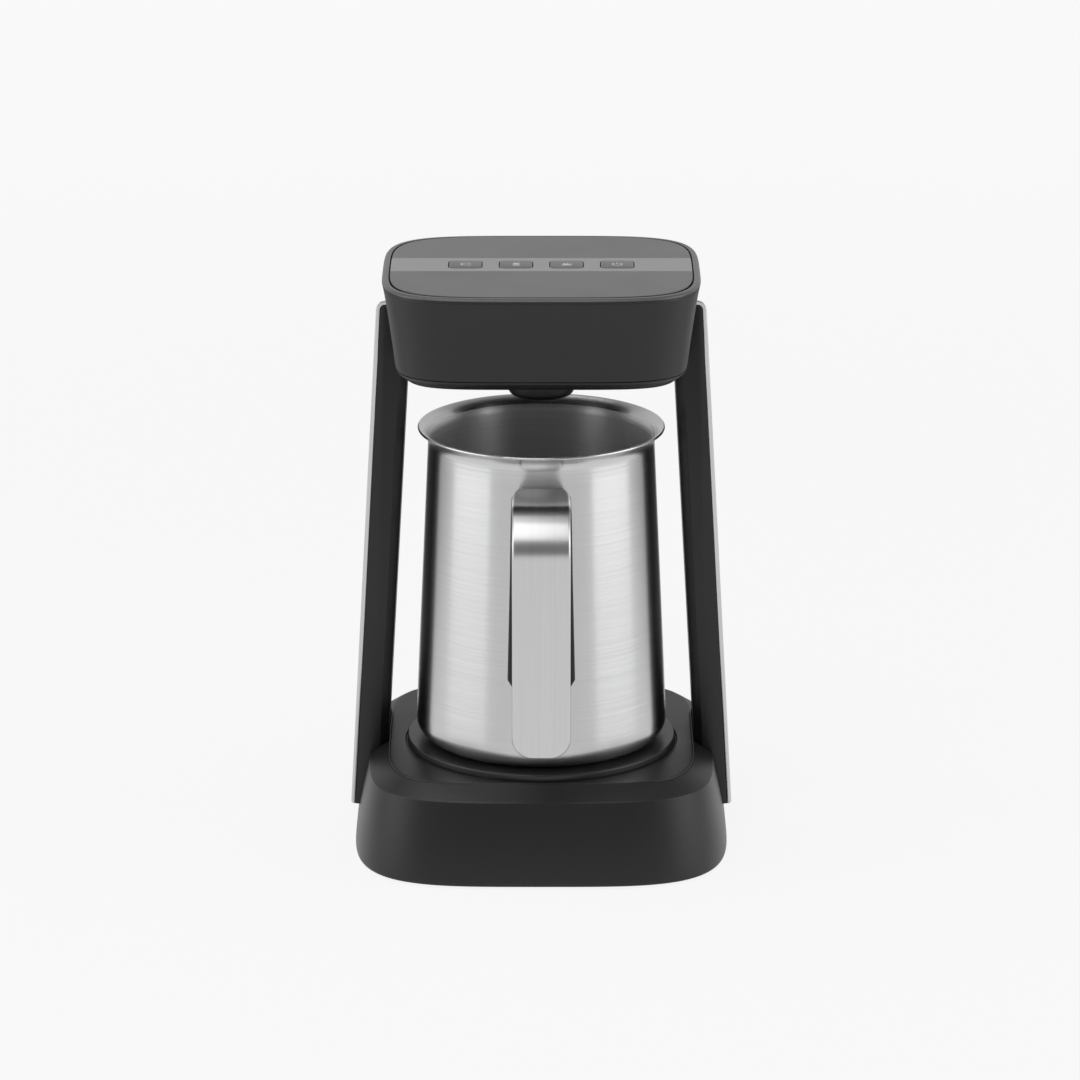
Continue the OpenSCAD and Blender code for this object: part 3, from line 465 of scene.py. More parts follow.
class Socket:
    """A node's output with arithmetic: each operation adds a Math node to the same tree."""

    def __init__(self, nodes, link):
        self.nodes = nodes
        self.link = link

    def math(self, operation, first, second, clamp=False):
        """Adds a Math node on two values or links."""
        return self.nodes.node("Math", {"operation": operation, "use_clamp": clamp}, {0: first, 1: second})

    def __add__(self, other):
        return self.math("ADD", self, other)

    def __radd__(self, other):
        return self.math("ADD", other, self)

    def __sub__(self, other):
        return self.math("SUBTRACT", self, other)

    def __rsub__(self, other):
        return self.math("SUBTRACT", other, self)

    def __mul__(self, other):
        return self.math("MULTIPLY", self, other)

    def __rmul__(self, other):
        return self.math("MULTIPLY", other, self)

    def __truediv__(self, other):
        return self.math("DIVIDE", self, other)

    def __rtruediv__(self, other):
        return self.math("DIVIDE", other, self)

    def either(self, other):
        """The greater of this value and another."""
        return self.math("MAXIMUM", self, other)

    def clamped(self):
        """This value held between 0 and 1."""
        return self.math("ADD", self, 0.0, clamp=True)

    def above(self, limit, softness):
        """0 below a limit and 1 above it, with a soft step between."""
        return ((self - limit) / softness + 0.5).clamped()


class Nodes:
    """The node tree of a material or a world."""

    def __init__(self, owner):
        owner.use_nodes = True
        self.tree = owner.node_tree

    def feed(self, socket, value):
        """Gives a socket a number, a colour or a link."""
        if isinstance(value, Socket):
            self.tree.links.new(value.link, socket)
        elif socket.type == "RGBA":
            socket.default_value = (*value, 1.0)
        else:
            socket.default_value = value

    def node(self, kind, settings, sockets, output=0):
        """Adds a node of a type: its settings first, then the values or links of its sockets."""
        node = self.tree.nodes.new("ShaderNode" + kind)
        for key, value in settings.items():
            setattr(node, key, value)
        for key, value in sockets.items():
            self.feed(node.inputs[key], value)
        return Socket(self, node.outputs[output]) if node.outputs else None

    def place(self, output="Object"):
        """Object coordinates, in metres, or another output of Texture Coordinate."""
        return self.node("TexCoord", {}, {}, output)

    def seen_by(self, rays):
        """1 for one kind of rays, such as Camera, and 0 for the others."""
        return self.node("LightPath", {}, {}, f"Is {rays} Ray")

    def axis(self, vector, name):
        """One of a vector's X, Y and Z."""
        return self.node("SeparateXYZ", {}, {"Vector": vector}, name)

    def mixed_shaders(self, factor, first, second):
        """A blend of two shaders."""
        return self.node("MixShader", {}, {0: factor, 1: first, 2: second})

    def ramped(self, value, *stops):
        """A level that runs smoothly through (value, level) stops."""
        level = stops[0][1]
        for (start, before), (end, after) in zip(stops, stops[1:]):
            if before != after:
                sockets = {0: value, 1: start, 2: end, 3: 0.0, 4: after - before}
                level = level + self.node("MapRange", {"interpolation_type": "SMOOTHSTEP"}, sockets)
        return level


class Paint(Nodes):
    """A piece's material, with a base colour and other constants of its shader."""

    def __init__(self, name, colour, constants):
        self.material = bpy.data.materials.new(name)
        super().__init__(self.material)
        self.shader = next(n for n in self.tree.nodes if n.type == "BSDF_PRINCIPLED")
        self.colour = colour
        self.set("Base Color", colour)
        for socket, value in constants.items():
            self.set(socket, value)

    def set(self, socket, value):
        """Sets or links a socket of the material's shader."""
        self.feed(self.shader.inputs[socket], value)

    def noise(self, scale, detail=3.0, roughness=0.5, stretch=None):
        """A noise value from 0 to 1; a stretch scales the place along each axis first."""
        place = self.place()
        if stretch:
            place = self.node("Mapping", {}, {"Vector": place, "Scale": stretch})
        sockets = {"Vector": place, "Scale": scale, "Detail": detail, "Roughness": roughness}
        return self.node("TexNoise", {}, sockets, "Fac")

    def blend(self, factor, first, second):
        """Mixes two colours."""
        return self.node("Mix", {"data_type": "RGBA"}, {0: factor, 6: first, 7: second}, 2)

    def vary(self, mask, shades, roughness, relief, depth, strength):
        """Finishes the material: a mask between two shades of its colour, roughness, and relief in metres."""
        first, second = (scaled(self.colour, shade) for shade in shades)
        self.set("Base Color", self.blend(mask, first, second))
        self.set("Roughness", roughness.clamped())
        self.set("Normal", self.node("Bump", {}, {"Strength": strength, "Distance": depth, "Height": relief}))
        return self.material


def scaled(colour, factor):
    """A colour made lighter or darker."""
    return tuple(min(1.0, channel * factor) for channel in colour)


# ---- Materials ----


def moulded(name, colour, gloss, grain=0.5):
    """Moulded plastic: a fine spark-eroded grain, faint cloudy gloss and lighter worn spots."""
    paint = Paint(name, colour, {"IOR": 1.46})
    cloud = paint.noise(35.0, 2.0)
    fine = paint.noise(2600.0, 2.0, 0.6)
    speck = paint.noise(900.0)
    roughness = gloss - 0.05 + 0.1 * cloud + 0.06 * (fine - 0.5)
    return paint.vary(speck, (0.8, 1.2), roughness, fine, 0.00002 * grain, 0.6)


def brushed(name, colour, gloss, along, depth=0.5, anisotropy=0.0, tangent=None):
    """Brushed steel: fine streaks one way in colour, gloss and relief, and highlights across them."""
    paint = Paint(name, colour, {"Metallic": 1.0, "Anisotropic": anisotropy, "Anisotropic Rotation": 0.25})
    hair = paint.noise(1.0, 3.0, 0.65, along)
    wide = paint.noise(1.0, 2.0, 0.5, tuple(0.45 * scale for scale in along))
    cloud = paint.noise(28.0, 2.0)
    streak = 0.62 * hair + 0.38 * wide
    if tangent:
        paint.set("Tangent", paint.node("Tangent", {"direction_type": "RADIAL", "axis": tangent}, {}))
    roughness = gloss - 0.05 + 0.09 * streak + 0.04 * (cloud - 0.5)
    return paint.vary(streak, (0.86, 1.12), roughness, hair, 0.00003 * depth, 0.5)


def painted_band(name, colour):
    """Silver paint with fine metal flakes."""
    paint = Paint(name, colour, {"Metallic": 0.35})
    flake = paint.node("TexVoronoi", {}, {"Vector": paint.place(), "Scale": 5200.0}, "Distance")
    cloud = paint.noise(60.0, 2.0)
    return paint.vary(flake, (1.15, 0.85), 0.36 + 0.08 * cloud + 0.06 * flake, flake, 0.000012, 0.4)


def coated(name, colour):
    """Heat-proof coating: fine orange peel with a few lighter scuffs."""
    paint = Paint(name, colour, {"IOR": 1.5})
    peel = paint.noise(420.0)
    scuff = paint.noise(60.0, 4.0, 0.7).above(0.62, 0.2)
    return paint.vary(scuff, (1.0, 2.2), 0.34 + 0.1 * scuff + 0.08 * (peel - 0.5), peel, 0.00004, 0.5)


def rubbery(name, colour):
    """Rubber: dull, with a fine skin and dusty spots."""
    paint = Paint(name, colour, {"IOR": 1.45})
    dust = paint.noise(240.0, 4.0, 0.7)
    skin = paint.noise(1800.0, 2.0)
    return paint.vary(dust.above(0.55, 0.3), (1.0, 2.0), 0.62 + 0.2 * dust, skin, 0.00003, 0.6)


def solder_mask(name, colour):
    """Green solder mask over darker and lighter copper tracks."""
    paint = Paint(name, colour, {"IOR": 1.5})
    sockets = {"Vector": paint.place(), "Scale": 260.0, "Mortar Size": 0.06, "Mortar Smooth": 0.3}
    tracks = paint.node("TexBrick", {}, sockets, "Fac")
    mottle = paint.noise(180.0, 2.0)
    return paint.vary(tracks, (0.75, 1.7), 0.26 + 0.12 * mottle, tracks, 0.00003, 0.5)


def plated(name, colour):
    """Zinc-plated steel with a faintly clouded shine."""
    paint = Paint(name, colour, {"Metallic": 1.0})
    cloud = paint.noise(700.0)
    scratch = paint.noise(1.0, 2.0, stretch=(300, 4000, 900))
    return paint.vary(cloud, (0.82, 1.12), 0.24 + 0.16 * cloud + 0.06 * scratch, scratch, 0.000015, 0.4)


def sand_cast(name, colour):
    """Cast aluminium: grey with a sandy skin."""
    paint = Paint(name, colour, {"Metallic": 1.0})
    sand = paint.noise(1100.0, 4.0, 0.6)
    patch = paint.noise(90.0, 2.0)
    return paint.vary(patch, (0.75, 1.1), 0.42 + 0.2 * sand, sand, 0.00006, 0.7)


def dusty_window(name, colour, dusty):
    """Dark polished window with a faint red depth and fine dust."""
    paint = Paint(name, colour, {"IOR": 1.5, "Coat Weight": 0.5, "Coat Roughness": 0.04})
    dust = paint.noise(900.0, 4.0, 0.8)
    paint.set("Base Color", paint.blend(dust.above(0.6, 0.2), colour, dusty))
    paint.set("Roughness", (0.08 + 0.1 * dust).clamped())
    return paint.material


def finish(name):
    """A finish by its name, made the first time it is asked for."""
    colours = bpy.context.scene.coffee_finishes
    steel = colours.steel
    recipes = {
        "casing_black": (moulded, colours.casing, 0.4),
        "cover_black": (moulded, (0.016, 0.016, 0.017), 0.55, 1.5),
        "grip_black": (moulded, colours.grip, 0.5, 1.2),
        "component_black": (moulded, (0.02, 0.02, 0.022), 0.45),
        "panel_grey": (moulded, colours.panel, 0.3, 0.3),
        "band_silver": (painted_band, colours.band),
        "key_cap": (moulded, colours.key, 0.32, 0.3),
        "key_print": (moulded, colours.symbol, 0.45, 0.2),
        "plate_coating": (coated, colours.plate),
        "jug_steel": (brushed, steel, 0.25, (9, 9, 2600), 0.28, 0.85, "Z"),
        # a lighter copy of the jug's steel: painted light that brightens the wall's inner side
        "jug_inside": (brushed, scaled(steel, 1.35), 0.43, (14, 14, 1800), 0.5, 0.7, "Z"),
        "strap_steel": (brushed, steel, 0.36, (2400, 14, 14), 0.4, 0.7, "X"),
        # a much darker copy of the strap's steel: painted shade for the strap's sides and underside
        "strap_edge": (brushed, scaled(steel, 0.2), 0.42, (2400, 14, 14), 0.4),
        "arm_steel": (brushed, steel, 0.3, (2400, 2400, 12)),
        "zinc_screws": (plated, (0.52, 0.53, 0.55)),
        "cast_aluminium": (sand_cast, (0.46, 0.46, 0.47)),
        "foot_rubber": (rubbery, (0.012, 0.012, 0.012)),
        "seal_rubber": (rubbery, (0.009, 0.009, 0.0095)),
        "cable_jacket": (rubbery, (0.03, 0.03, 0.032)),
        "circuit_board": (solder_mask, (0.012, 0.085, 0.032)),
        "infrared_window": (dusty_window, (0.014, 0.004, 0.006), (0.03, 0.022, 0.024)),
    }
    recipe, *settings = recipes[name]
    return bpy.data.materials.get(name) or recipe(name, *settings)


# ---- Base ----


def deck_outline(z):
    """The deck's outline at a height."""
    sizes = bpy.context.scene.coffee_casing
    return Ring(sizes.deck_half_width, sizes.deck_half_depth, sizes.deck_fullness, z, sizes.deck_back)


def arm_frame(side):
    """The placing of an arm's own frame, x out from its outer face and z up along it; side is 1 or -1."""
    sizes = bpy.context.scene.coffee_arms
    foot = Vector((ARM_PLATE_HIGH.x, 0, ARM_PLATE_LOW.z + sizes.plate * math.sin(arm_lean())))
    lean = Matrix.Rotation(-arm_lean(), 4, "Y")
    mirror = Matrix.Diagonal((side, 1, 1, 1))
    return mirror @ Matrix.Translation(foot) @ lean


def arm_lean():
    """How far an arm leans inwards, in radians, from its plate's box."""
    rise = ARM_PLATE_HIGH.z - ARM_PLATE_LOW.z
    flange = bpy.context.scene.coffee_arms.proud + PLATE_LAP
    width = ARM_PLATE_HIGH.x - ARM_PLATE_LOW.x
    lean = 0.0
    for _ in range(20):  # each round takes the flange's own share of the box at the lean found before
        lean = math.atan2(width - flange * math.cos(lean), rise - flange * math.sin(lean))
    return lean


def arm_length():
    """Length of an arm along its lean, at its front."""
    sizes = bpy.context.scene.coffee_arms
    lean = arm_lean()
    rise = ARM_PLATE_HIGH.z - ARM_PLATE_LOW.z - sizes.plate * math.sin(lean)
    return (rise + sizes.bend * (math.sin(lean) + math.cos(lean) - 1)) / math.cos(lean)


def slope_arm_top(low, high):
    """In edit mode, slopes what lies above a height down to the rear, from the arm's top at the front."""
    slope = math.radians(bpy.context.scene.coffee_arms.top_slope)
    pick("VERT", lambda v: v.co.z > low)
    bpy.ops.transform.resize(value=(1, 1, 1 / math.cos(slope)), center_override=(0, 0, high))
    middle_y = (ARM_PLATE_LOW.y + ARM_PLATE_HIGH.y) / 2
    drop = (ARM_PLATE_HIGH.y - ARM_PLATE_LOW.y) * math.tan(slope)
    pick("VERT", lambda v: v.co.y > middle_y and v.co.z > low)
    bpy.ops.transform.translate(value=(0, 0, -drop))


def arm_slot(side, gap=0.25 * MM):
    """A closed box with a sloping top that cuts the room of an arm."""
    sizes = bpy.context.scene.coffee_arms
    outwards = 20 * MM
    thick = sizes.plate + sizes.beam
    top = arm_length() + gap
    low = (-thick - gap, ARM_PLATE_LOW.y - gap, -gap)
    tool = block("slot_tool", low, (outwards, ARM_PLATE_HIGH.y + gap, top))
    outward()
    slope_arm_top(top / 2, top)
    put_on_side(tool, side)
    return tool


def put_on_side(piece, side):
    """Places a piece from an arm's own frame, in its mesh, and turns its faces outwards again."""
    to_object_mode()
    piece.matrix_world = arm_frame(side)
    choose(piece)
    bpy.ops.object.transform_apply(location=True, rotation=True, scale=True)
    bpy.ops.object.mode_set(mode="EDIT")
    outward()
    to_object_mode()


class COFFEE_OT_base(bpy.types.Operator):
    """Model the base casing with its sloped border, flared wall and the plate's opening"""

    bl_idname = "coffee.base"
    bl_label = "Base casing"

    def execute(self, context):
        sizes = context.scene.coffee_casing
        top = BASE_HIGH.z
        low = BASE_LOW.z
        border = top - sizes.slope_drop
        slope = sizes.slope_width
        foot = slope + sizes.wall_flare
        wall_low = low + sizes.base_round
        wall_high = border - 0.42 * MM
        hole = PLATE_HIGH.x + sizes.plate_gap
        deck = deck_outline(top)

        def wall(share, inset=0.0):
            """The flared wall's outline at a share of its height."""
            spread = foot - sizes.wall_flare * share ** 1.3
            return deck.grown(spread - inset, wall_low + (wall_high - wall_low) * share)

        rings = deck.stepped(foot - sizes.base_round, low, (-1.6, 0), (0, 0))
        for angle in (30, 60, 90):
            turn = math.radians(angle)
            out = foot - sizes.base_round * (1 - math.sin(turn))
            rings.append(deck.grown(out, low + sizes.base_round * (1 - math.cos(turn))))
        rings += [wall(share) for share in (0.02, 0.06, 0.2, 0.4, 0.6, 0.8, 0.95, 0.985)]
        # the border's crisp lower edge, its slope, the fine groove round the deck, and the deck's edge
        rings += deck.stepped(slope, border, (0.02, -0.42), (-0.05, -0.14), (-0.3, 0.12), (-0.7, 0.4))
        rings.append(deck.grown(slope / 2, border + sizes.slope_drop / 2 + 0.1 * MM))
        rings += deck.stepped(0, top, (0.9, -0.62), (0.46, -0.34), (0.36, -0.42), (0.16, -0.44), (0.06, -0.3))
        rings += deck.stepped(0, top, (0, -0.1), (-0.1, 0), (-0.5, 0))
        # the plate's opening, and back down inside the casing
        rings += disc(hole, top).stepped(0, top, (0.3, 0), (0.06, -0.05), (0, -0.3), (0, -2.2), (0.1, -2.4))
        rings += deck.stepped(0, top, (0.4, -2.5)) + deck.stepped(slope, border, (-2.5, -2.0))
        rings += [wall(share, sizes.base_wall) for share in (0.8, 0.4, 0.0)]
        base = loft("base_casing", rings)
        smooth(base)
        cut(base, arm_slot(1), arm_slot(-1))
        coat(base, "casing_black")
        hand_over(base, "stand", "base_shell", slot="black_casing")
        return {"FINISHED"}


class COFFEE_OT_warming_plate(bpy.types.Operator):
    """Turn the coated warming plate with its rounded rim"""

    bl_idname = "coffee.warming_plate"
    bl_label = "Warming plate"

    def execute(self, context):
        rim = PLATE_HIGH.x
        top = PLATE_HIGH.z
        edge = 0.45 * MM
        chamfer = 0.3 * MM
        profile = [(0, PLATE_LOW.z), (rim - chamfer, PLATE_LOW.z), (rim, PLATE_LOW.z + chamfer)]
        for angle in range(0, 91, 15):
            turn = math.radians(angle)
            profile.append((rim - edge * (1 - math.cos(turn)), top - edge * (1 - math.sin(turn))))
        profile += [(rim - 3 * MM, top), (rim * 0.5, top), (0, top)]
        plate = turned("warming_plate_coated", profile)
        coat(plate, "plate_coating")
        hand_over(plate, "stand", "warming_plate", slot="coated_plate")
        return {"FINISHED"}


# ---- Arms ----


def is_corner(edge, x):
    """Whether an edge runs from front to rear at a place along x."""
    return runs_along(edge, "y") and close_to(middle(edge).x, x)


class COFFEE_OT_arms(bpy.types.Operator):
    """Model both black beams with chamfered inner edges and their open lower ends"""

    bl_idname = "coffee.arms"
    bl_label = "Arm beams"

    def execute(self, context):
        sizes = context.scene.coffee_arms
        outer = -sizes.plate - 0.02 * MM
        inner = -sizes.plate - sizes.beam
        front = ARM_PLATE_LOW.y
        rear = ARM_PLATE_HIGH.y
        high = arm_length() - sizes.plate
        wall = 2.2 * MM
        hollow = 60 * MM
        for side, name in ((1, "right"), (-1, "left")):
            beam = block(f"{name}_arm_beam", (inner, front, 0), (outer, rear, high))
            pick("EDGE", lambda e: is_corner(e, outer) and middle(e).z > high / 2)
            bpy.ops.mesh.bevel(offset=sizes.bend - sizes.plate, segments=8, affect="EDGES")
            pick("EDGE", lambda e: runs_along(e, "z") and close_to(middle(e).x, inner))
            bpy.ops.mesh.bevel(offset=sizes.chamfer, segments=1, affect="EDGES")
            slope_arm_top(high / 2, high)
            pick("FACE", lambda f: f.normal.z < -MOSTLY)
            bpy.ops.mesh.inset(thickness=wall)
            bpy.ops.mesh.extrude_region_move(TRANSFORM_OT_translate={"value": (0, 0, hollow)})
            outward()
            soften(beam, 0.3 * MM, angle=25.0)
            put_on_side(beam, side)
            coat(beam, "casing_black")
            hand_over(beam, "stand", f"{name}_arm", slot="black_casing")
        return {"FINISHED"}


class COFFEE_OT_arm_plates(bpy.types.Operator):
    """Bend a brushed steel plate over the outer face of each arm"""

    bl_idname = "coffee.arm_plates"
    bl_label = "Arm plates"

    def execute(self, context):
        sizes = context.scene.coffee_arms
        front = ARM_PLATE_LOW.y
        rear = ARM_PLATE_HIGH.y
        straight = arm_length() - sizes.bend
        centre = (-sizes.bend, 0, straight)
        flat_top = sizes.proud + PLATE_LAP - sizes.bend
        for side, name in ((1, "right"), (-1, "left")):
            plate = block(f"{name}_arm_plate_steel", (-sizes.plate, front, 0), (0, rear, straight))
            pick("FACE", lambda f: f.normal.z > MOSTLY)
            bpy.ops.mesh.spin(steps=10, angle=math.radians(90), center=centre, axis=(0, 1, 0))
            bpy.ops.mesh.extrude_region_move(TRANSFORM_OT_translate={"value": (-flat_top, 0, 0)})
            outward()
            slope_arm_top(straight / 2, arm_length())
            outward()
            pick("EDGE", lambda e: is_corner(e, 0) and middle(e).z < straight / 2)
            bpy.ops.mesh.bevel(offset=1.2 * MM, segments=5, affect="EDGES")
            soften(plate, 0.28 * MM, angle=40.0)
            put_on_side(plate, side)
            coat(plate, "arm_steel")
            hand_over(plate, "stand", f"{name}_arm_plate", slot="brushed_steel")
        return {"FINISHED"}


# ---- Head ----


def head_outline(z):
    """The head's outline at its top, at a height."""
    sizes = bpy.context.scene.coffee_casing
    return Ring(HEAD_HIGH.x, HEAD_HIGH.y, sizes.head_fullness, z)


def key_centres():
    """Middle of each key, left to right."""
    centres = []
    for index in range(1, 5):
        low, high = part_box(f"key_{index}")
        centres.append((low + high) / 2)
    return centres


def key_hole_tools(low, high):
    """Rounded boxes that cut the holes of the four keys."""
    gap = bpy.context.scene.coffee_casing.key_gap
    width = KEY_WIDTH + 2 * gap
    depth = KEY_DEPTH + 2 * gap
    return [rounded_block("hole_tool", c, width, depth, low, high, KEY_ROUND + gap) for c in key_centres()]


class COFFEE_OT_head(bpy.types.Operator):
    """Model the head's casing with its drafted wall, rim and panel recess"""

    bl_idname = "coffee.head"
    bl_label = "Head casing"

    def execute(self, context):
        sizes = context.scene.coffee_casing
        top = HEAD_HIGH.z
        low = COVER_HIGH.z + 0.05 * MM
        recess = PANEL_LOW.z
        ceiling = recess - 2.2 * MM
        shoulder = top - 1.9 * MM
        crest = top - 0.24 * MM
        wall = -sizes.head_wall
        rim = -sizes.rim_width
        core = 20 * MM
        head = head_outline(top)

        def draft(z):
            """How far the wall stands out at a height, from the head's outline at its top."""
            share = (z - low) / (shoulder - low)
            return -sizes.head_taper * (1 - share) ** 0.8 if share < 1 else 0.0

        heights = [low + (shoulder - low) * share for share in (0.06, 0.2, 0.4, 0.6, 0.8, 0.95)]
        # the ceiling under the panel, and down inside the wall
        rings = [disc(core, ceiling)]
        rings += head.stepped(wall, ceiling, (-1.6, 0), (-0.2, -0.1), (0, -0.5))
        rings += [head.grown(draft(z) + wall, z) for z in (heights[4], heights[2], low + 0.2 * MM, low)]
        # the wall's lower edge, and up outside it
        rings += head.stepped(draft(low), low, (-0.9, 0), (-0.25, 0))
        rings += [head.grown(draft(z), z) for z in (low + 0.3 * MM, *heights, shoulder - 0.3 * MM)]
        # the fine groove under the rim, the rim's round outer side and its flat top
        rings += head.stepped(0, shoulder, (-0.2, -0.16), (-0.2, 0.02), (-0.02, 0.12), (0, 0.3), (-0.15, 1.0))
        rings += head.stepped(0, crest, (-0.42, -0.35), (-0.8, -0.1), (-1.2, -0.02), (-1.7, 0))
        rings += head.stepped(rim, crest, (0.2, 0), (0.04, -0.06), (0, -0.3))
        # the panel's recess
        rings += head.stepped(rim, recess, (0, 0.1), (-0.1, 0), (-1.5, 0))
        rings.append(disc(core, recess))
        casing = loft("head_casing", rings, closed=False)
        smooth(casing)
        cut(casing, *key_hole_tools(ceiling - SPARE, recess + SPARE))
        cut(casing, arm_slot(1), arm_slot(-1))
        coat(casing, "casing_black", "panel_grey", lambda f: f.center.z > shoulder + 0.55 * MM)
        hand_over(casing, "stand", "head_shell", slot="black_casing")
        return {"FINISHED"}


class COFFEE_OT_head_cover(bpy.types.Operator):
    """Model the head's bottom cover with its bevel, the sensor's hole and four screw recesses"""

    bl_idname = "coffee.head_cover"
    bl_label = "Head cover"

    def execute(self, context):
        sizes = context.scene.coffee_casing
        low = COVER_LOW.z
        high = COVER_HIGH.z
        floor = low + sizes.head_wall
        edge = -sizes.head_taper
        bevel = edge - sizes.head_bevel
        head = head_outline(low)
        hole = (BOSS_HIGH.x - BOSS_FLANGE) + 0.1 * MM
        rings = [disc(hole, floor), disc(hole, low + 0.2 * MM), disc(hole + 0.2 * MM, low)]
        rings += head.stepped(bevel, low, (-1.2, 0), (-0.3, 0.05), (0.3, 0.4))
        rings += head.stepped(edge, high, (-0.75, -1.2), (-0.25, -0.6), (-0.02, -0.15), (-0.15, 0))
        rings.append(head.grown(edge - sizes.head_wall, high))
        rings += head.stepped(bevel, floor, (-1.4, 0))
        cover = loft("head_cover_bevelled", rings)
        smooth(cover)
        screw_low, screw_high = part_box("head_screws")
        screw_head = 2.8 * MM
        seat = low + 1.3 * MM
        wide = screw_head + 0.15 * MM
        shank = 1.65 * MM
        columns = (screw_low.x + screw_head, screw_high.x - screw_head)
        rows = (screw_low.y + screw_head, screw_high.y - screw_head)
        profile = [
            (0, low - SPARE), (wide, low - SPARE), (wide, seat),
            (shank, seat), (shank, floor + SPARE), (0, floor + SPARE),
        ]
        cut_recesses(cover, [(x, y) for x in columns for y in rows], profile)
        cut(cover, arm_slot(1), arm_slot(-1))
        coat(cover, "casing_black")
        hand_over(cover, "stand", "head_cover", slot="black_casing")
        return {"FINISHED"}


class COFFEE_OT_panel(bpy.types.Operator):
    """Model the top panel and the metallic band let into it, with the keys' holes"""

    bl_idname = "coffee.panel"
    bl_label = "Top panel and band"

    def execute(self, context):
        outline = Ring(PANEL_HIGH.x, PANEL_HIGH.y, PANEL_FULLNESS, PANEL_LOW.z)
        low = PANEL_LOW.z
        top = PANEL_HIGH.z

        def blank(name):
            """The whole panel, with its rounded top edge."""
            rings = [outline] + outline.stepped(0, top, (0, -0.3), (-0.08, -0.08), (-0.25, 0))
            return loft(name, rings, closed=False)

        def strip(gap=0.0):
            """A box over the band's strip of the panel."""
            reach = HEAD_HIGH.x * 1.1
            corner = (reach, BAND_HIGH.y + gap, top + SPARE)
            tool = block("strip_tool", (-reach, BAND_LOW.y - gap, BAND_LOW.z), corner)
            outward()
            return tool

        panel = blank("top_panel_grey")
        cut(panel, strip(gap=0.03 * MM))
        cut(panel, *key_hole_tools(low - SPARE, top + SPARE))
        coat(panel, "panel_grey", "casing_black", lambda f: f.normal.z < 0.8)
        hand_over(panel, "stand", "top_panel", slot="grey_panel")
        band = blank("panel_band_silver")
        cut(band, strip(), keep="INTERSECT")
        cut(band, *key_hole_tools(low - SPARE, top + SPARE))
        coat(band, "band_silver")
        hand_over(band, "stand", "panel_band", slot="silver_band")
        return {"FINISHED"}


# ---- Keys ----

SYMBOL_THICKNESS = 0.035 * MM
SYMBOL_LINE = 0.5 * MM


def add_arc(centre, radius, start, sweep, line=SYMBOL_LINE):
    """In edit mode, draws a flat arc as a thin raised line; angles in degrees, counted from +X."""
    bpy.ops.mesh.select_all(action="DESELECT")
    turn = math.radians(start)
    spot = Vector(centre) + Vector((math.cos(turn), math.sin(turn), 0)) * radius
    bpy.ops.mesh.primitive_plane_add(size=1, location=spot, rotation=(math.pi / 2, 0, turn))
    bpy.ops.transform.resize(value=(line, line, SYMBOL_THICKNESS), center_override=spot)
    steps = max(3, int(sweep / 8))
    bpy.ops.mesh.spin(steps=steps, angle=-math.radians(sweep), center=centre, axis=(0, 0, 1))


def add_bar(centre, width, depth, corner=0.0):
    """In edit mode, adds a flat raised bar, with rounded corners if asked."""
    bpy.ops.mesh.select_all(action="DESELECT")
    bpy.ops.mesh.primitive_cube_add(size=1, location=centre)
    bpy.ops.transform.resize(value=(width, depth, SYMBOL_THICKNESS), center_override=centre)
    if corner:
        marks = bmesh.from_edit_mesh(bpy.context.object.data)
        chosen = [e for e in marks.edges if e.select and runs_along(e, "z")]
        bpy.ops.mesh.select_mode(type="EDGE")
        bpy.ops.mesh.select_all(action="DESELECT")
        for edge in chosen:
            edge.select_set(True)
        bpy.ops.mesh.bevel(offset=corner, segments=4, affect="EDGES")


def shifted(at, x, y, scale=1.0):
    """A spot that lies millimetres to the right of another and above it, in a symbol's own scale."""
    return at + Vector((x * MM, y * MM, 0)) * scale


def power_symbol(at):
    """A broken ring with a bar."""
    add_arc(at, 1.75 * MM, 120, 300)
    add_bar(shifted(at, 0, 1.4), SYMBOL_LINE, 1.7 * MM)


def cup_symbol(at, scale=1.0):
    """A cup on a saucer, with its handle to the right."""
    size = MM * scale
    add_bar(shifted(at, -0.2, 0.1, scale), 2.6 * size, 1.6 * size, 0.45 * size)
    add_arc(shifted(at, 1.15, 0.25, scale), 0.62 * size, -90, 180, 0.35 * MM)
    add_bar(shifted(at, 0, -1.2, scale), 3.8 * size, 0.38 * MM)


def steaming_cup_symbol(at):
    """A cup with two wisps of steam."""
    cup_symbol(shifted(at, 0, -0.4))
    for x in (-0.9, 0.3):
        add_bar(shifted(at, x, 1.3), 0.35 * MM, 0.9 * MM)


def two_cups_symbol(at):
    """Two cups, one above the other."""
    for height in (1.25, -1.1):
        cup_symbol(shifted(at, 0, height), 0.72)


def return_symbol(at):
    """A loop open to the right, with a tail and an arrowhead."""
    add_arc(at, 1.55 * MM, 70, 220)
    add_bar(shifted(at, 1.3, -1.45), 2.0 * MM, SYMBOL_LINE)
    add_bar(shifted(at, 1.1, 1.4), 1.3 * MM, SYMBOL_LINE)
    add_bar(shifted(at, 1.6, 0.9), SYMBOL_LINE, 1.5 * MM)


SYMBOLS = (return_symbol, two_cups_symbol, steaming_cup_symbol, power_symbol)


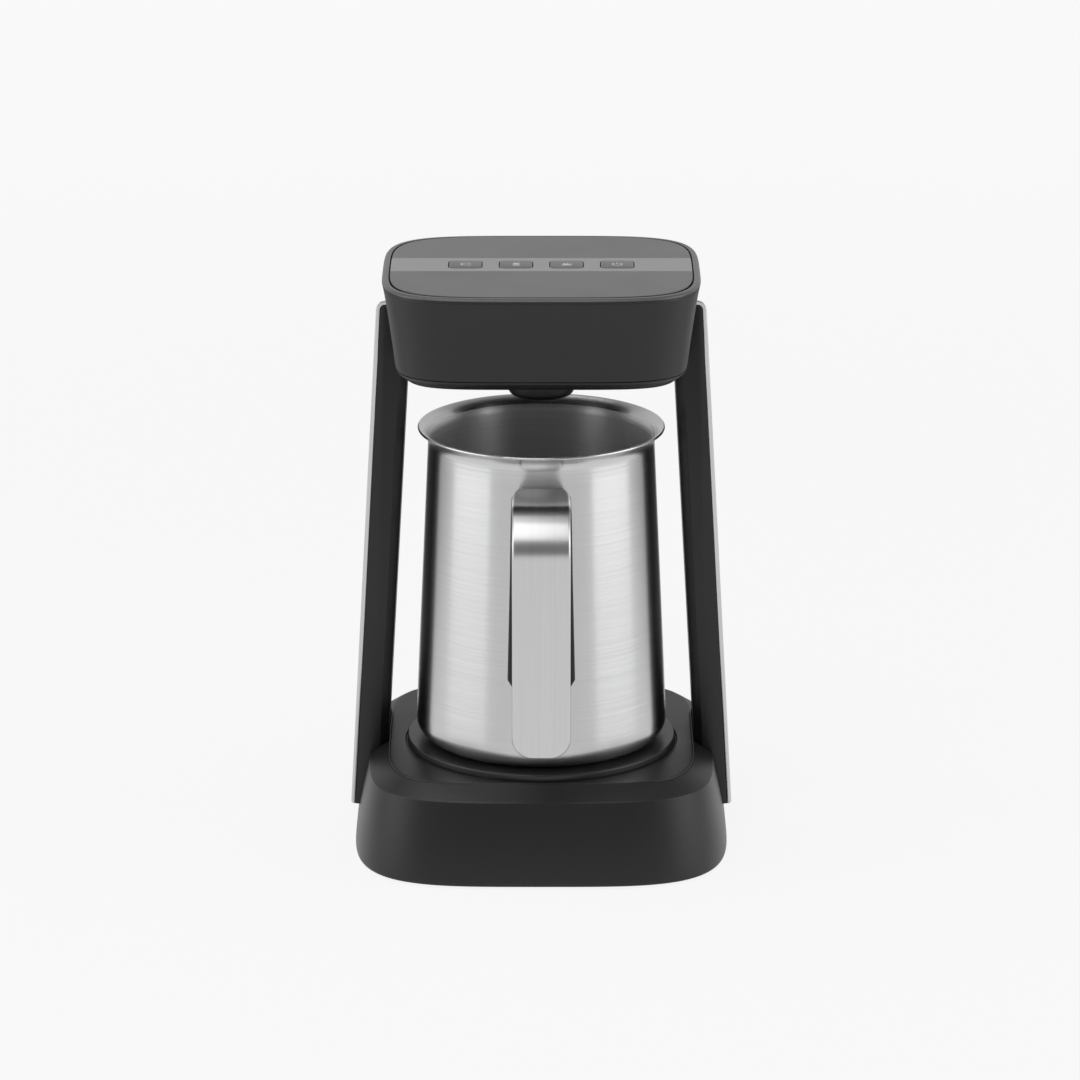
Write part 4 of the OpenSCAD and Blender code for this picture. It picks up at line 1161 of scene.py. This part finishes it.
class COFFEE_OT_keys(bpy.types.Operator):
    """Model the four keys with softened caps, lips, stems and plain printed symbols"""

    bl_idname = "coffee.keys"
    bl_label = "Keys"

    def execute(self, context):
        stem = 2.2 * MM
        lip = Vector((KEY_WIDTH + 2 * MM, KEY_DEPTH + 2 * MM, 1 * MM))
        for index, draw in enumerate(SYMBOLS, start=1):
            low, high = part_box(f"key_{index}")
            centre = (low + high) / 2
            lip_low = low.z + 2.1 * MM
            cap = rounded_block(f"key_{index}_cap", centre, KEY_WIDTH, KEY_DEPTH, lip_low, high.z, KEY_ROUND)
            choose(cap)
            bpy.ops.object.mode_set(mode="EDIT")
            pick("EDGE", lambda e: all(close_to(v.co.z, high.z) for v in e.verts))
            bpy.ops.mesh.bevel(offset=0.3 * MM, segments=4, affect="EDGES")
            bpy.ops.mesh.select_all(action="DESELECT")
            spot = (centre.x, centre.y, lip_low + lip.z / 2)
            bpy.ops.mesh.primitive_cube_add(size=1, location=spot)
            bpy.ops.transform.resize(value=lip, center_override=spot)
            spot = (centre.x, centre.y, low.z + stem / 2)
            bpy.ops.mesh.primitive_cylinder_add(vertices=32, radius=2 * MM, depth=stem, location=spot)
            coat(cap, "key_cap", "key_print", lambda face: False)
            marks = begin(f"key_{index}_symbol")
            draw(Vector((centre.x, centre.y, high.z + SYMBOL_THICKNESS / 2 - 0.01 * MM)))
            outward()
            coat(marks, "key_cap", "key_print", lambda face: True)
            choose(cap)
            marks.select_set(True)
            bpy.ops.object.join()
            hand_over(cap, f"key_{index}", f"key_{index}", slot="key_caps")
        return {"FINISHED"}


# ---- Sensor ----


class COFFEE_OT_sensor(bpy.types.Operator):
    """Turn the sensor's boss with its rounded lower edge and hollow inside"""

    bl_idname = "coffee.sensor"
    bl_label = "Sensor boss"

    def execute(self, context):
        low = BOSS_LOW.z
        high = BOSS_HIGH.z
        rim = BOSS_HIGH.x
        radius = rim - BOSS_FLANGE
        bore = radius - 2 * MM
        flange = high - 1.8 * MM
        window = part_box("sensor_lens")[1]
        seat = window.x + 0.1 * MM
        ledge = seat - 1.3 * MM
        shelf = window.z
        over_shelf = shelf + 1.2 * MM
        profile = [(bore, high), (rim, high), (rim, flange), (radius, flange), (radius, low + 5 * MM)]
        rounded_edge = ((0.2, 2.0), (0.35, 1.4), (0.6, 0.9), (1.2, 0.25), (1.6, 0))
        profile += [(radius - inwards * MM, low + up * MM) for inwards, up in rounded_edge]
        profile += [
            (seat + 0.3 * MM, low), (seat, low + 0.3 * MM), (seat, shelf), (ledge, shelf),
            (ledge, over_shelf), (bore, over_shelf), (bore, high),
        ]
        boss = turned("sensor_boss_turned", profile, points=128)
        coat(boss, "casing_black")
        hand_over(boss, "stand", "sensor_boss", slot="black_casing")
        return {"FINISHED"}


# ---- Jug ----


def neck_height():
    """Height of the neck, where the jug's rim starts to flare."""
    return JUG_LOW.z + JUG_HEIGHT - bpy.context.scene.coffee_jug.flare


class COFFEE_OT_jug(bpy.types.Operator):
    """Turn the steel jug with its rounded foot, tapering wall, neck and flared lip"""

    bl_idname = "coffee.jug"
    bl_label = "Jug"

    def execute(self, context):
        sizes = context.scene.coffee_jug
        low = JUG_LOW.z
        top = JUG_HIGH.z
        neck = neck_height()
        lip_turn = math.radians(65)
        foot_steps = 8
        lip_steps = 12
        edge_steps = 6

        def skin(inset):
            """Outer half section, moved in by a distance."""
            points = []
            for step in range(foot_steps + 1):
                turn = math.radians(90 * step / foot_steps)
                reach = sizes.foot_round - inset
                points.append((
                    sizes.belly_radius - sizes.foot_round + reach * math.sin(turn),
                    low + sizes.foot_round - reach * math.cos(turn),
                ))
            wall = [(sizes.belly_radius - inset, low + sizes.foot_round), (sizes.neck_radius - inset, neck)]
            for share in (0.04, 0.2, 0.4, 0.6, 0.8, 0.95):
                points.append(tuple(a + (b - a) * share for a, b in zip(*wall)))
            for step in range(lip_steps + 1):
                turn = lip_turn * step / lip_steps
                share = (1 - math.cos(turn)) / (1 - math.cos(lip_turn))
                radius = sizes.neck_radius + (sizes.rim_radius - sizes.neck_radius) * share
                height = neck + (sizes.flare - sizes.wall) * math.sin(turn) / math.sin(lip_turn)
                points.append((radius - inset * math.cos(turn), height + inset * math.sin(turn)))
            return points

        outer = skin(0)
        inner = skin(sizes.wall)
        floor = low + sizes.floor
        edge = []
        centre = tuple((a + b) / 2 for a, b in zip(outer[-1], inner[-1]))
        start = math.atan2(outer[-1][1] - centre[1], outer[-1][0] - centre[0])
        half = sizes.wall / 2
        for step in range(1, edge_steps):
            turn = start + math.pi * step / edge_steps
            edge.append((centre[0] + half * math.cos(turn), min(centre[1] + half * math.sin(turn), top)))
        inside = [point for point in reversed(inner) if point[1] > floor]
        flat = sizes.belly_radius - sizes.foot_round
        profile = [(0, low), (flat * 0.5, low), (flat - 0.5 * MM, low)] + outer + edge + inside
        profile += [(flat, floor), (flat * 0.5, floor), (0, floor)]
        jug = turned("jug_brushed", profile, points=192)

        def is_inside(face):
            """Whether a face lies on the wall's inner side."""
            inwards = face.normal.x * face.center.x + face.normal.y * face.center.y < 0
            return inwards and face.center.z > floor and face.normal.z < 0.5

        # the wall's inner side gets the lighter copy of the steel: painted light
        coat(jug, "jug_steel", "jug_inside", is_inside)
        hand_over(jug, "jug", "jug_body", angle=60.0, slot="brushed_steel")
        return {"FINISHED"}


def jug_wall_tool():
    """A closed cone that fills the jug up to its outer wall and a gap round it."""
    sizes = bpy.context.scene.coffee_jug
    low = JUG_LOW.z + sizes.foot_round
    neck = neck_height()
    to_object_mode()
    bpy.ops.mesh.primitive_cone_add(
        vertices=256, radius1=sizes.belly_radius + JUG_GAP, radius2=sizes.neck_radius + JUG_GAP,
        depth=neck - low, location=(0, 0, (neck + low) / 2),
    )
    return bpy.context.object


class COFFEE_OT_strap(bpy.types.Operator):
    """Bend the steel strap of the handle and round its edges and lower corners"""

    bl_idname = "coffee.strap"
    bl_label = "Handle strap"

    def execute(self, context):
        sizes = context.scene.coffee_jug
        thick = sizes.strap_thickness
        half = STRAP_HIGH.x
        top = STRAP_HIGH.z
        front = STRAP_LOW.y
        bend_y = front + sizes.strap_bend
        bend_z = top - sizes.strap_bend
        root_corner = 3 * MM
        drawn_out = 5
        strap = block("handle_strap_steel", (-half, bend_y, top - thick), (half, STRAP_ROOT, top))
        pick("FACE", lambda f: f.normal.y < -MOSTLY)
        bpy.ops.mesh.spin(steps=16, angle=math.radians(-90), center=(0, bend_y, bend_z), axis=(1, 0, 0))
        bpy.ops.mesh.extrude_region_move(TRANSFORM_OT_translate={"value": (0, 0, STRAP_LOW.z - bend_z)})
        outward()
        pick("EDGE", lambda e: runs_along(e, "y") and close_to(middle(e).z, STRAP_LOW.z))
        bpy.ops.mesh.bevel(offset=sizes.strap_corner, segments=14, affect="EDGES")
        # rounded corners at the root, drawn out along the strap, narrow it towards the jug
        pick("EDGE", lambda e: runs_along(e, "z") and close_to(middle(e).y, STRAP_ROOT))
        bpy.ops.mesh.bevel(offset=root_corner, segments=10, affect="EDGES")
        pick("VERT", lambda v: v.co.y > STRAP_ROOT - root_corner - 0.1 * MM)
        bpy.ops.transform.resize(value=(1, drawn_out, 1), center_override=(0, STRAP_ROOT, 0))
        bpy.ops.mesh.select_all(action="SELECT")
        bpy.ops.mesh.bisect(plane_co=(0, 0, 0), plane_no=(1, 0, 0))
        outward()
        pick("EDGE", lambda e: is_strap_outer_edge(e, front, top, bend_y, bend_z, sizes))
        bpy.ops.mesh.bevel(offset=1.1 * MM, segments=5, affect="EDGES")
        soften(strap, 0.3 * MM, segments=2, angle=50.0)
        cut(strap, jug_wall_tool())
        # the sides and underside get the darker copy of the steel: painted shade for a dark outline round the
        # strap
        coat(strap, "strap_steel", "strap_edge", lambda f: abs(f.normal.x) > MOSTLY or f.normal.z < -MOSTLY)
        hand_over(strap, "jug", "handle_strap", angle=40.0, slot="brushed_steel")
        return {"FINISHED"}


def is_strap_outer_edge(edge, front, top, bend_y, bend_z, sizes):
    """Whether an edge lies on the rim of the strap's outer side."""
    if len(edge.link_faces) != 2:
        return False
    first, second = (face.normal for face in edge.link_faces)
    if first.dot(second) > 0.5:
        return False
    for vertex in edge.verts:
        y, z = vertex.co.y, vertex.co.z
        if y > bend_y:
            outside = close_to(z, top)
        elif z < bend_z:
            outside = close_to(y, front)
        else:
            outside = close_to(math.hypot(y - bend_y, z - bend_z), sizes.strap_bend)
        if not outside:
            return False
    return True


class COFFEE_OT_grip(bpy.types.Operator):
    """Model the black grip behind the strap, widening downwards, and the block at its root"""

    bl_idname = "coffee.grip"
    bl_label = "Handle grip"

    def execute(self, context):
        sizes = context.scene.coffee_jug
        front = GRIP_LOW.y + 0.02 * MM
        back = front + sizes.grip_thickness
        top = GRIP_HIGH.z
        low = GRIP_LOW.z
        tip = low + 4 * MM
        low_half = GRIP_HIGH.x
        top_half = STRAP_HIGH.x + 0.2 * MM
        bend = sizes.strap_bend - sizes.strap_thickness
        soft = 6 * MM
        under = top - sizes.root_height
        bend_steps = 8

        def half_at(z):
            """Half the grip's width at a height."""
            share = min(1.0, max(0.0, (z - tip) / (top - tip)))
            return low_half + (top_half - low_half) * share

        # each station: (y, z) at the strap's side, (y, z) at the back, and half the width
        stations = [((front, low), (back - 2 * MM, low), low_half - 2.4 * MM)]
        stations += [((front, z), (back, z), half_at(z)) for z in (tip, low + 20 * MM, under - soft)]
        for step in range(1, bend_steps + 1):
            turn = math.radians(90 * step / bend_steps)
            outer = (front + bend * (1 - math.cos(turn)), top - bend * (1 - math.sin(turn)))
            inner = (back + soft * (1 - math.cos(turn)), under - soft * (1 - math.sin(turn)))
            stations.append((outer, inner, half_at((outer[1] + inner[1]) / 2)))
        stations.append(((GRIP_ROOT, top), (GRIP_ROOT, under), top_half))

        grip = begin("handle_grip_black")
        for index, (outer, inner, half) in enumerate(stations):
            bpy.ops.mesh.select_all(action="DESELECT")
            bpy.ops.mesh.primitive_plane_add(size=1, location=(0, 0, 0))
            mark_ring(grip, index, lambda co: (math.copysign(half, co.x), *(outer if co.y < 0 else inner)))
            if 0 < index < len(stations) - 1:
                bpy.ops.mesh.delete(type="ONLY_FACE")
        for index in range(len(stations) - 1):
            pick("EDGE", in_rings(grip, index, index + 1))
            bpy.ops.mesh.bridge_edge_loops()
        outward()
        soften(grip, 0.9 * MM, segments=4, angle=40.0)
        cut(grip, jug_wall_tool())
        screw_low, screw_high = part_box("handle_screws")
        screw_head = 2.3 * MM
        wide = 2.45 * MM
        y = (screw_low.y + screw_high.y) / 2
        spots = ((screw_low.x + screw_head, y), (screw_high.x - screw_head, y))
        deep = under + 3 * MM
        cut_recesses(grip, spots, [(0, under - 2 * MM), (wide, under - 2 * MM), (wide, deep), (0, deep)])
        coat(grip, "grip_black")
        hand_over(grip, "jug", "handle_grip", angle=40.0, slot="black_parts")
        return {"FINISHED"}


# ---- Pieces that keep their CAD shape ----


class COFFEE_OT_small_parts(bpy.types.Operator):
    """Give the feet, the cover, the screws and all inner pieces their finish"""

    bl_idname = "coffee.small_parts"
    bl_label = "Small and inner parts"

    def execute(self, context):
        parts = {
            "cover_black": ("base_cover",),
            "component_black": ("cord_inlet", "power_board_parts", "key_switches", "buzzer"),
            "foot_rubber": ("base_feet",),
            "seal_rubber": ("plate_seal",),
            "zinc_screws": (
                "base_screws", "carrier_screws", "power_board_screws", "arm_screws", "head_screws",
                "control_board_screws", "boss_screws", "handle_screws", "plate_carrier",
            ),
            "cast_aluminium": ("heating_element", "thermostat"),
            "circuit_board": ("power_board", "control_board", "sensor_board"),
            "cable_jacket": ("wire_loom",),
            "infrared_window": ("sensor_lens",),
            "strap_steel": ("jug_bracket",),
        }
        for material, nodes in parts.items():
            for node in nodes:
                coat(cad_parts[node], material)
        return {"FINISHED"}


# ---- Stage ----

AIM = (0, 0, 0.11)
SOFTBOXES = {  # place, width and height, and power in watts
    "left_softbox": ((-1.24, -0.38, 0.55), (1.15, 1.2), 7.4),
    "right_softbox": ((1.24, -0.38, 0.55), (1.15, 1.2), 8.4),
    "front_softbox": ((-0.26, -0.81, 1.42), (0.95, 1.25), 7.1),
    "top_softbox": ((-0.55, 0.1, 1.7), (1.0, 0.9), 3.4),
}


def bare_nodes(owner):
    """An emptied node tree of a material or a world."""
    nodes = Nodes(owner)
    nodes.tree.nodes.clear()
    return nodes


def pale_world(brightness):
    """A pale surround for the camera; in reflections it is dim in front of the object and overhead."""
    world = bpy.data.worlds.new("studio")
    bpy.context.scene.world = world
    nodes = bare_nodes(world)

    def glow(strength):
        """White light at a strength."""
        return nodes.node("Background", {}, {"Color": (1, 1, 1), "Strength": strength})

    way = nodes.place("Generated")
    around = nodes.ramped(nodes.axis(way, "Y"), (-0.5, 0.12), (-0.15, 0.6), (0.4, 0.6), (0.8, 0.65))
    above = nodes.ramped(nodes.axis(way, "Z"), (0.45, 0.0), (0.75, 1.0))
    mirrored = above * 0.4 + (1 - above) * around
    lit = nodes.mixed_shaders(nodes.seen_by("Glossy"), glow(0.5), glow(mirrored))
    through = nodes.seen_by("Camera").either(nodes.seen_by("Transmission"))
    nodes.node("OutputWorld", {}, {"Surface": nodes.mixed_shaders(through, lit, glow(brightness))})


def pale_floor(brightness):
    """The floor's finish: the background's brightness, with the object's shadow near it.

    In reflections it gets darker behind the object.
    """
    material = bpy.data.materials.new("studio_floor")
    nodes = bare_nodes(material)

    def glow(strength):
        """White light at a strength."""
        return nodes.node("Emission", {}, {"Color": (1, 1, 1), "Strength": strength})

    place = nodes.place()
    reach = nodes.node("VectorMath", {"operation": "LENGTH"}, {0: place}, "Value")
    plain = nodes.ramped(reach, (0.3, 0.93), (1.5, 1.0))
    behind = nodes.ramped(nodes.axis(place, "Y"), (0.02, brightness), (0.3, 0.5 * brightness))
    glossy = nodes.seen_by("Glossy")
    bright = nodes.mixed_shaders(glossy, glow(brightness), glow(behind))
    matte = nodes.node("BsdfDiffuse", {}, {"Color": (0.82, 0.82, 0.82)})
    share = nodes.seen_by("Camera").either(glossy) * plain
    nodes.node("OutputMaterial", {}, {"Surface": nodes.mixed_shaders(share, matte, bright)})
    return material


def soft_light(name, place, size, power):
    """Adds a rectangular soft light that points at the object."""
    to_object_mode()
    bpy.ops.object.light_add(type="AREA", location=place)
    lamp = bpy.context.object
    lamp.name = name
    lamp.data.shape = "RECTANGLE"
    lamp.data.size, lamp.data.size_y = size
    lamp.data.energy = power
    lamp.rotation_euler = (Vector(AIM) - Vector(place)).to_track_quat("-Z", "Y").to_euler()


class COFFEE_OT_stage(bpy.types.Operator):
    """Set the camera, the pale floor and the soft lights"""

    bl_idname = "coffee.stage"
    bl_label = "Stage"

    def execute(self, context):
        studio = context.scene.coffee_studio
        to_object_mode()
        bpy.ops.mesh.primitive_plane_add(size=14, location=(0, 0, 0))
        floor = context.object
        floor.name = "studio_floor"
        floor.data.materials.append(pale_floor(studio.background))
        pale_world(studio.background)
        pitch = math.radians(studio.pitch)
        back = studio.distance * math.cos(pitch)
        place = (0, -back, studio.target_height + studio.distance * math.sin(pitch))
        bpy.ops.object.camera_add(location=place, rotation=(math.pi / 2 - pitch, 0, 0))
        camera = context.object
        camera.name = "studio_camera"
        camera.data.lens = studio.lens
        camera.data.sensor_width = 36.0
        camera.data.shift_x = studio.shift
        camera.data.clip_start = 0.05
        camera.data.clip_end = 40.0
        context.scene.camera = camera
        for name, settings in SOFTBOXES.items():
            soft_light(name, *settings)
        context.scene.view_settings.view_transform = "Standard"
        return {"FINISHED"}


# ---- Sidebar, registration and run ----

STEPS = (
    COFFEE_OT_base, COFFEE_OT_warming_plate, COFFEE_OT_arms, COFFEE_OT_arm_plates, COFFEE_OT_head,
    COFFEE_OT_head_cover, COFFEE_OT_panel, COFFEE_OT_keys, COFFEE_OT_sensor, COFFEE_OT_jug, COFFEE_OT_strap,
    COFFEE_OT_grip, COFFEE_OT_small_parts, COFFEE_OT_stage,
)


class COFFEE_PT_pieces(bpy.types.Panel):
    """Lists the pieces of the coffee maker"""

    bl_idname = "COFFEE_PT_pieces"
    bl_label = "Coffee maker"
    bl_space_type = "VIEW_3D"
    bl_region_type = "UI"
    bl_category = "Coffee maker"

    def draw(self, context):
        column = self.layout.column(align=True)
        for step in STEPS:
            column.operator(step.bl_idname)
        for name in GROUPS:
            box = self.layout.box()
            group = getattr(context.scene, name)
            for key in group.__annotations__:
                box.prop(group, key)


def register():
    for name, group in GROUPS.items():
        bpy.utils.register_class(group)
        setattr(bpy.types.Scene, name, bpy.props.PointerProperty(type=group))
    for step in STEPS:
        bpy.utils.register_class(step)
    bpy.utils.register_class(COFFEE_PT_pieces)


def unregister():
    bpy.utils.unregister_class(COFFEE_PT_pieces)
    for step in reversed(STEPS):
        bpy.utils.unregister_class(step)
    for name, group in GROUPS.items():
        delattr(bpy.types.Scene, name)
        bpy.utils.unregister_class(group)


def main():
    register()
    for step in STEPS:
        group, name = step.bl_idname.split(".")
        getattr(getattr(bpy.ops, group), name)()
    to_object_mode()
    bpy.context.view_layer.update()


if __name__ == "__main__":
    main()
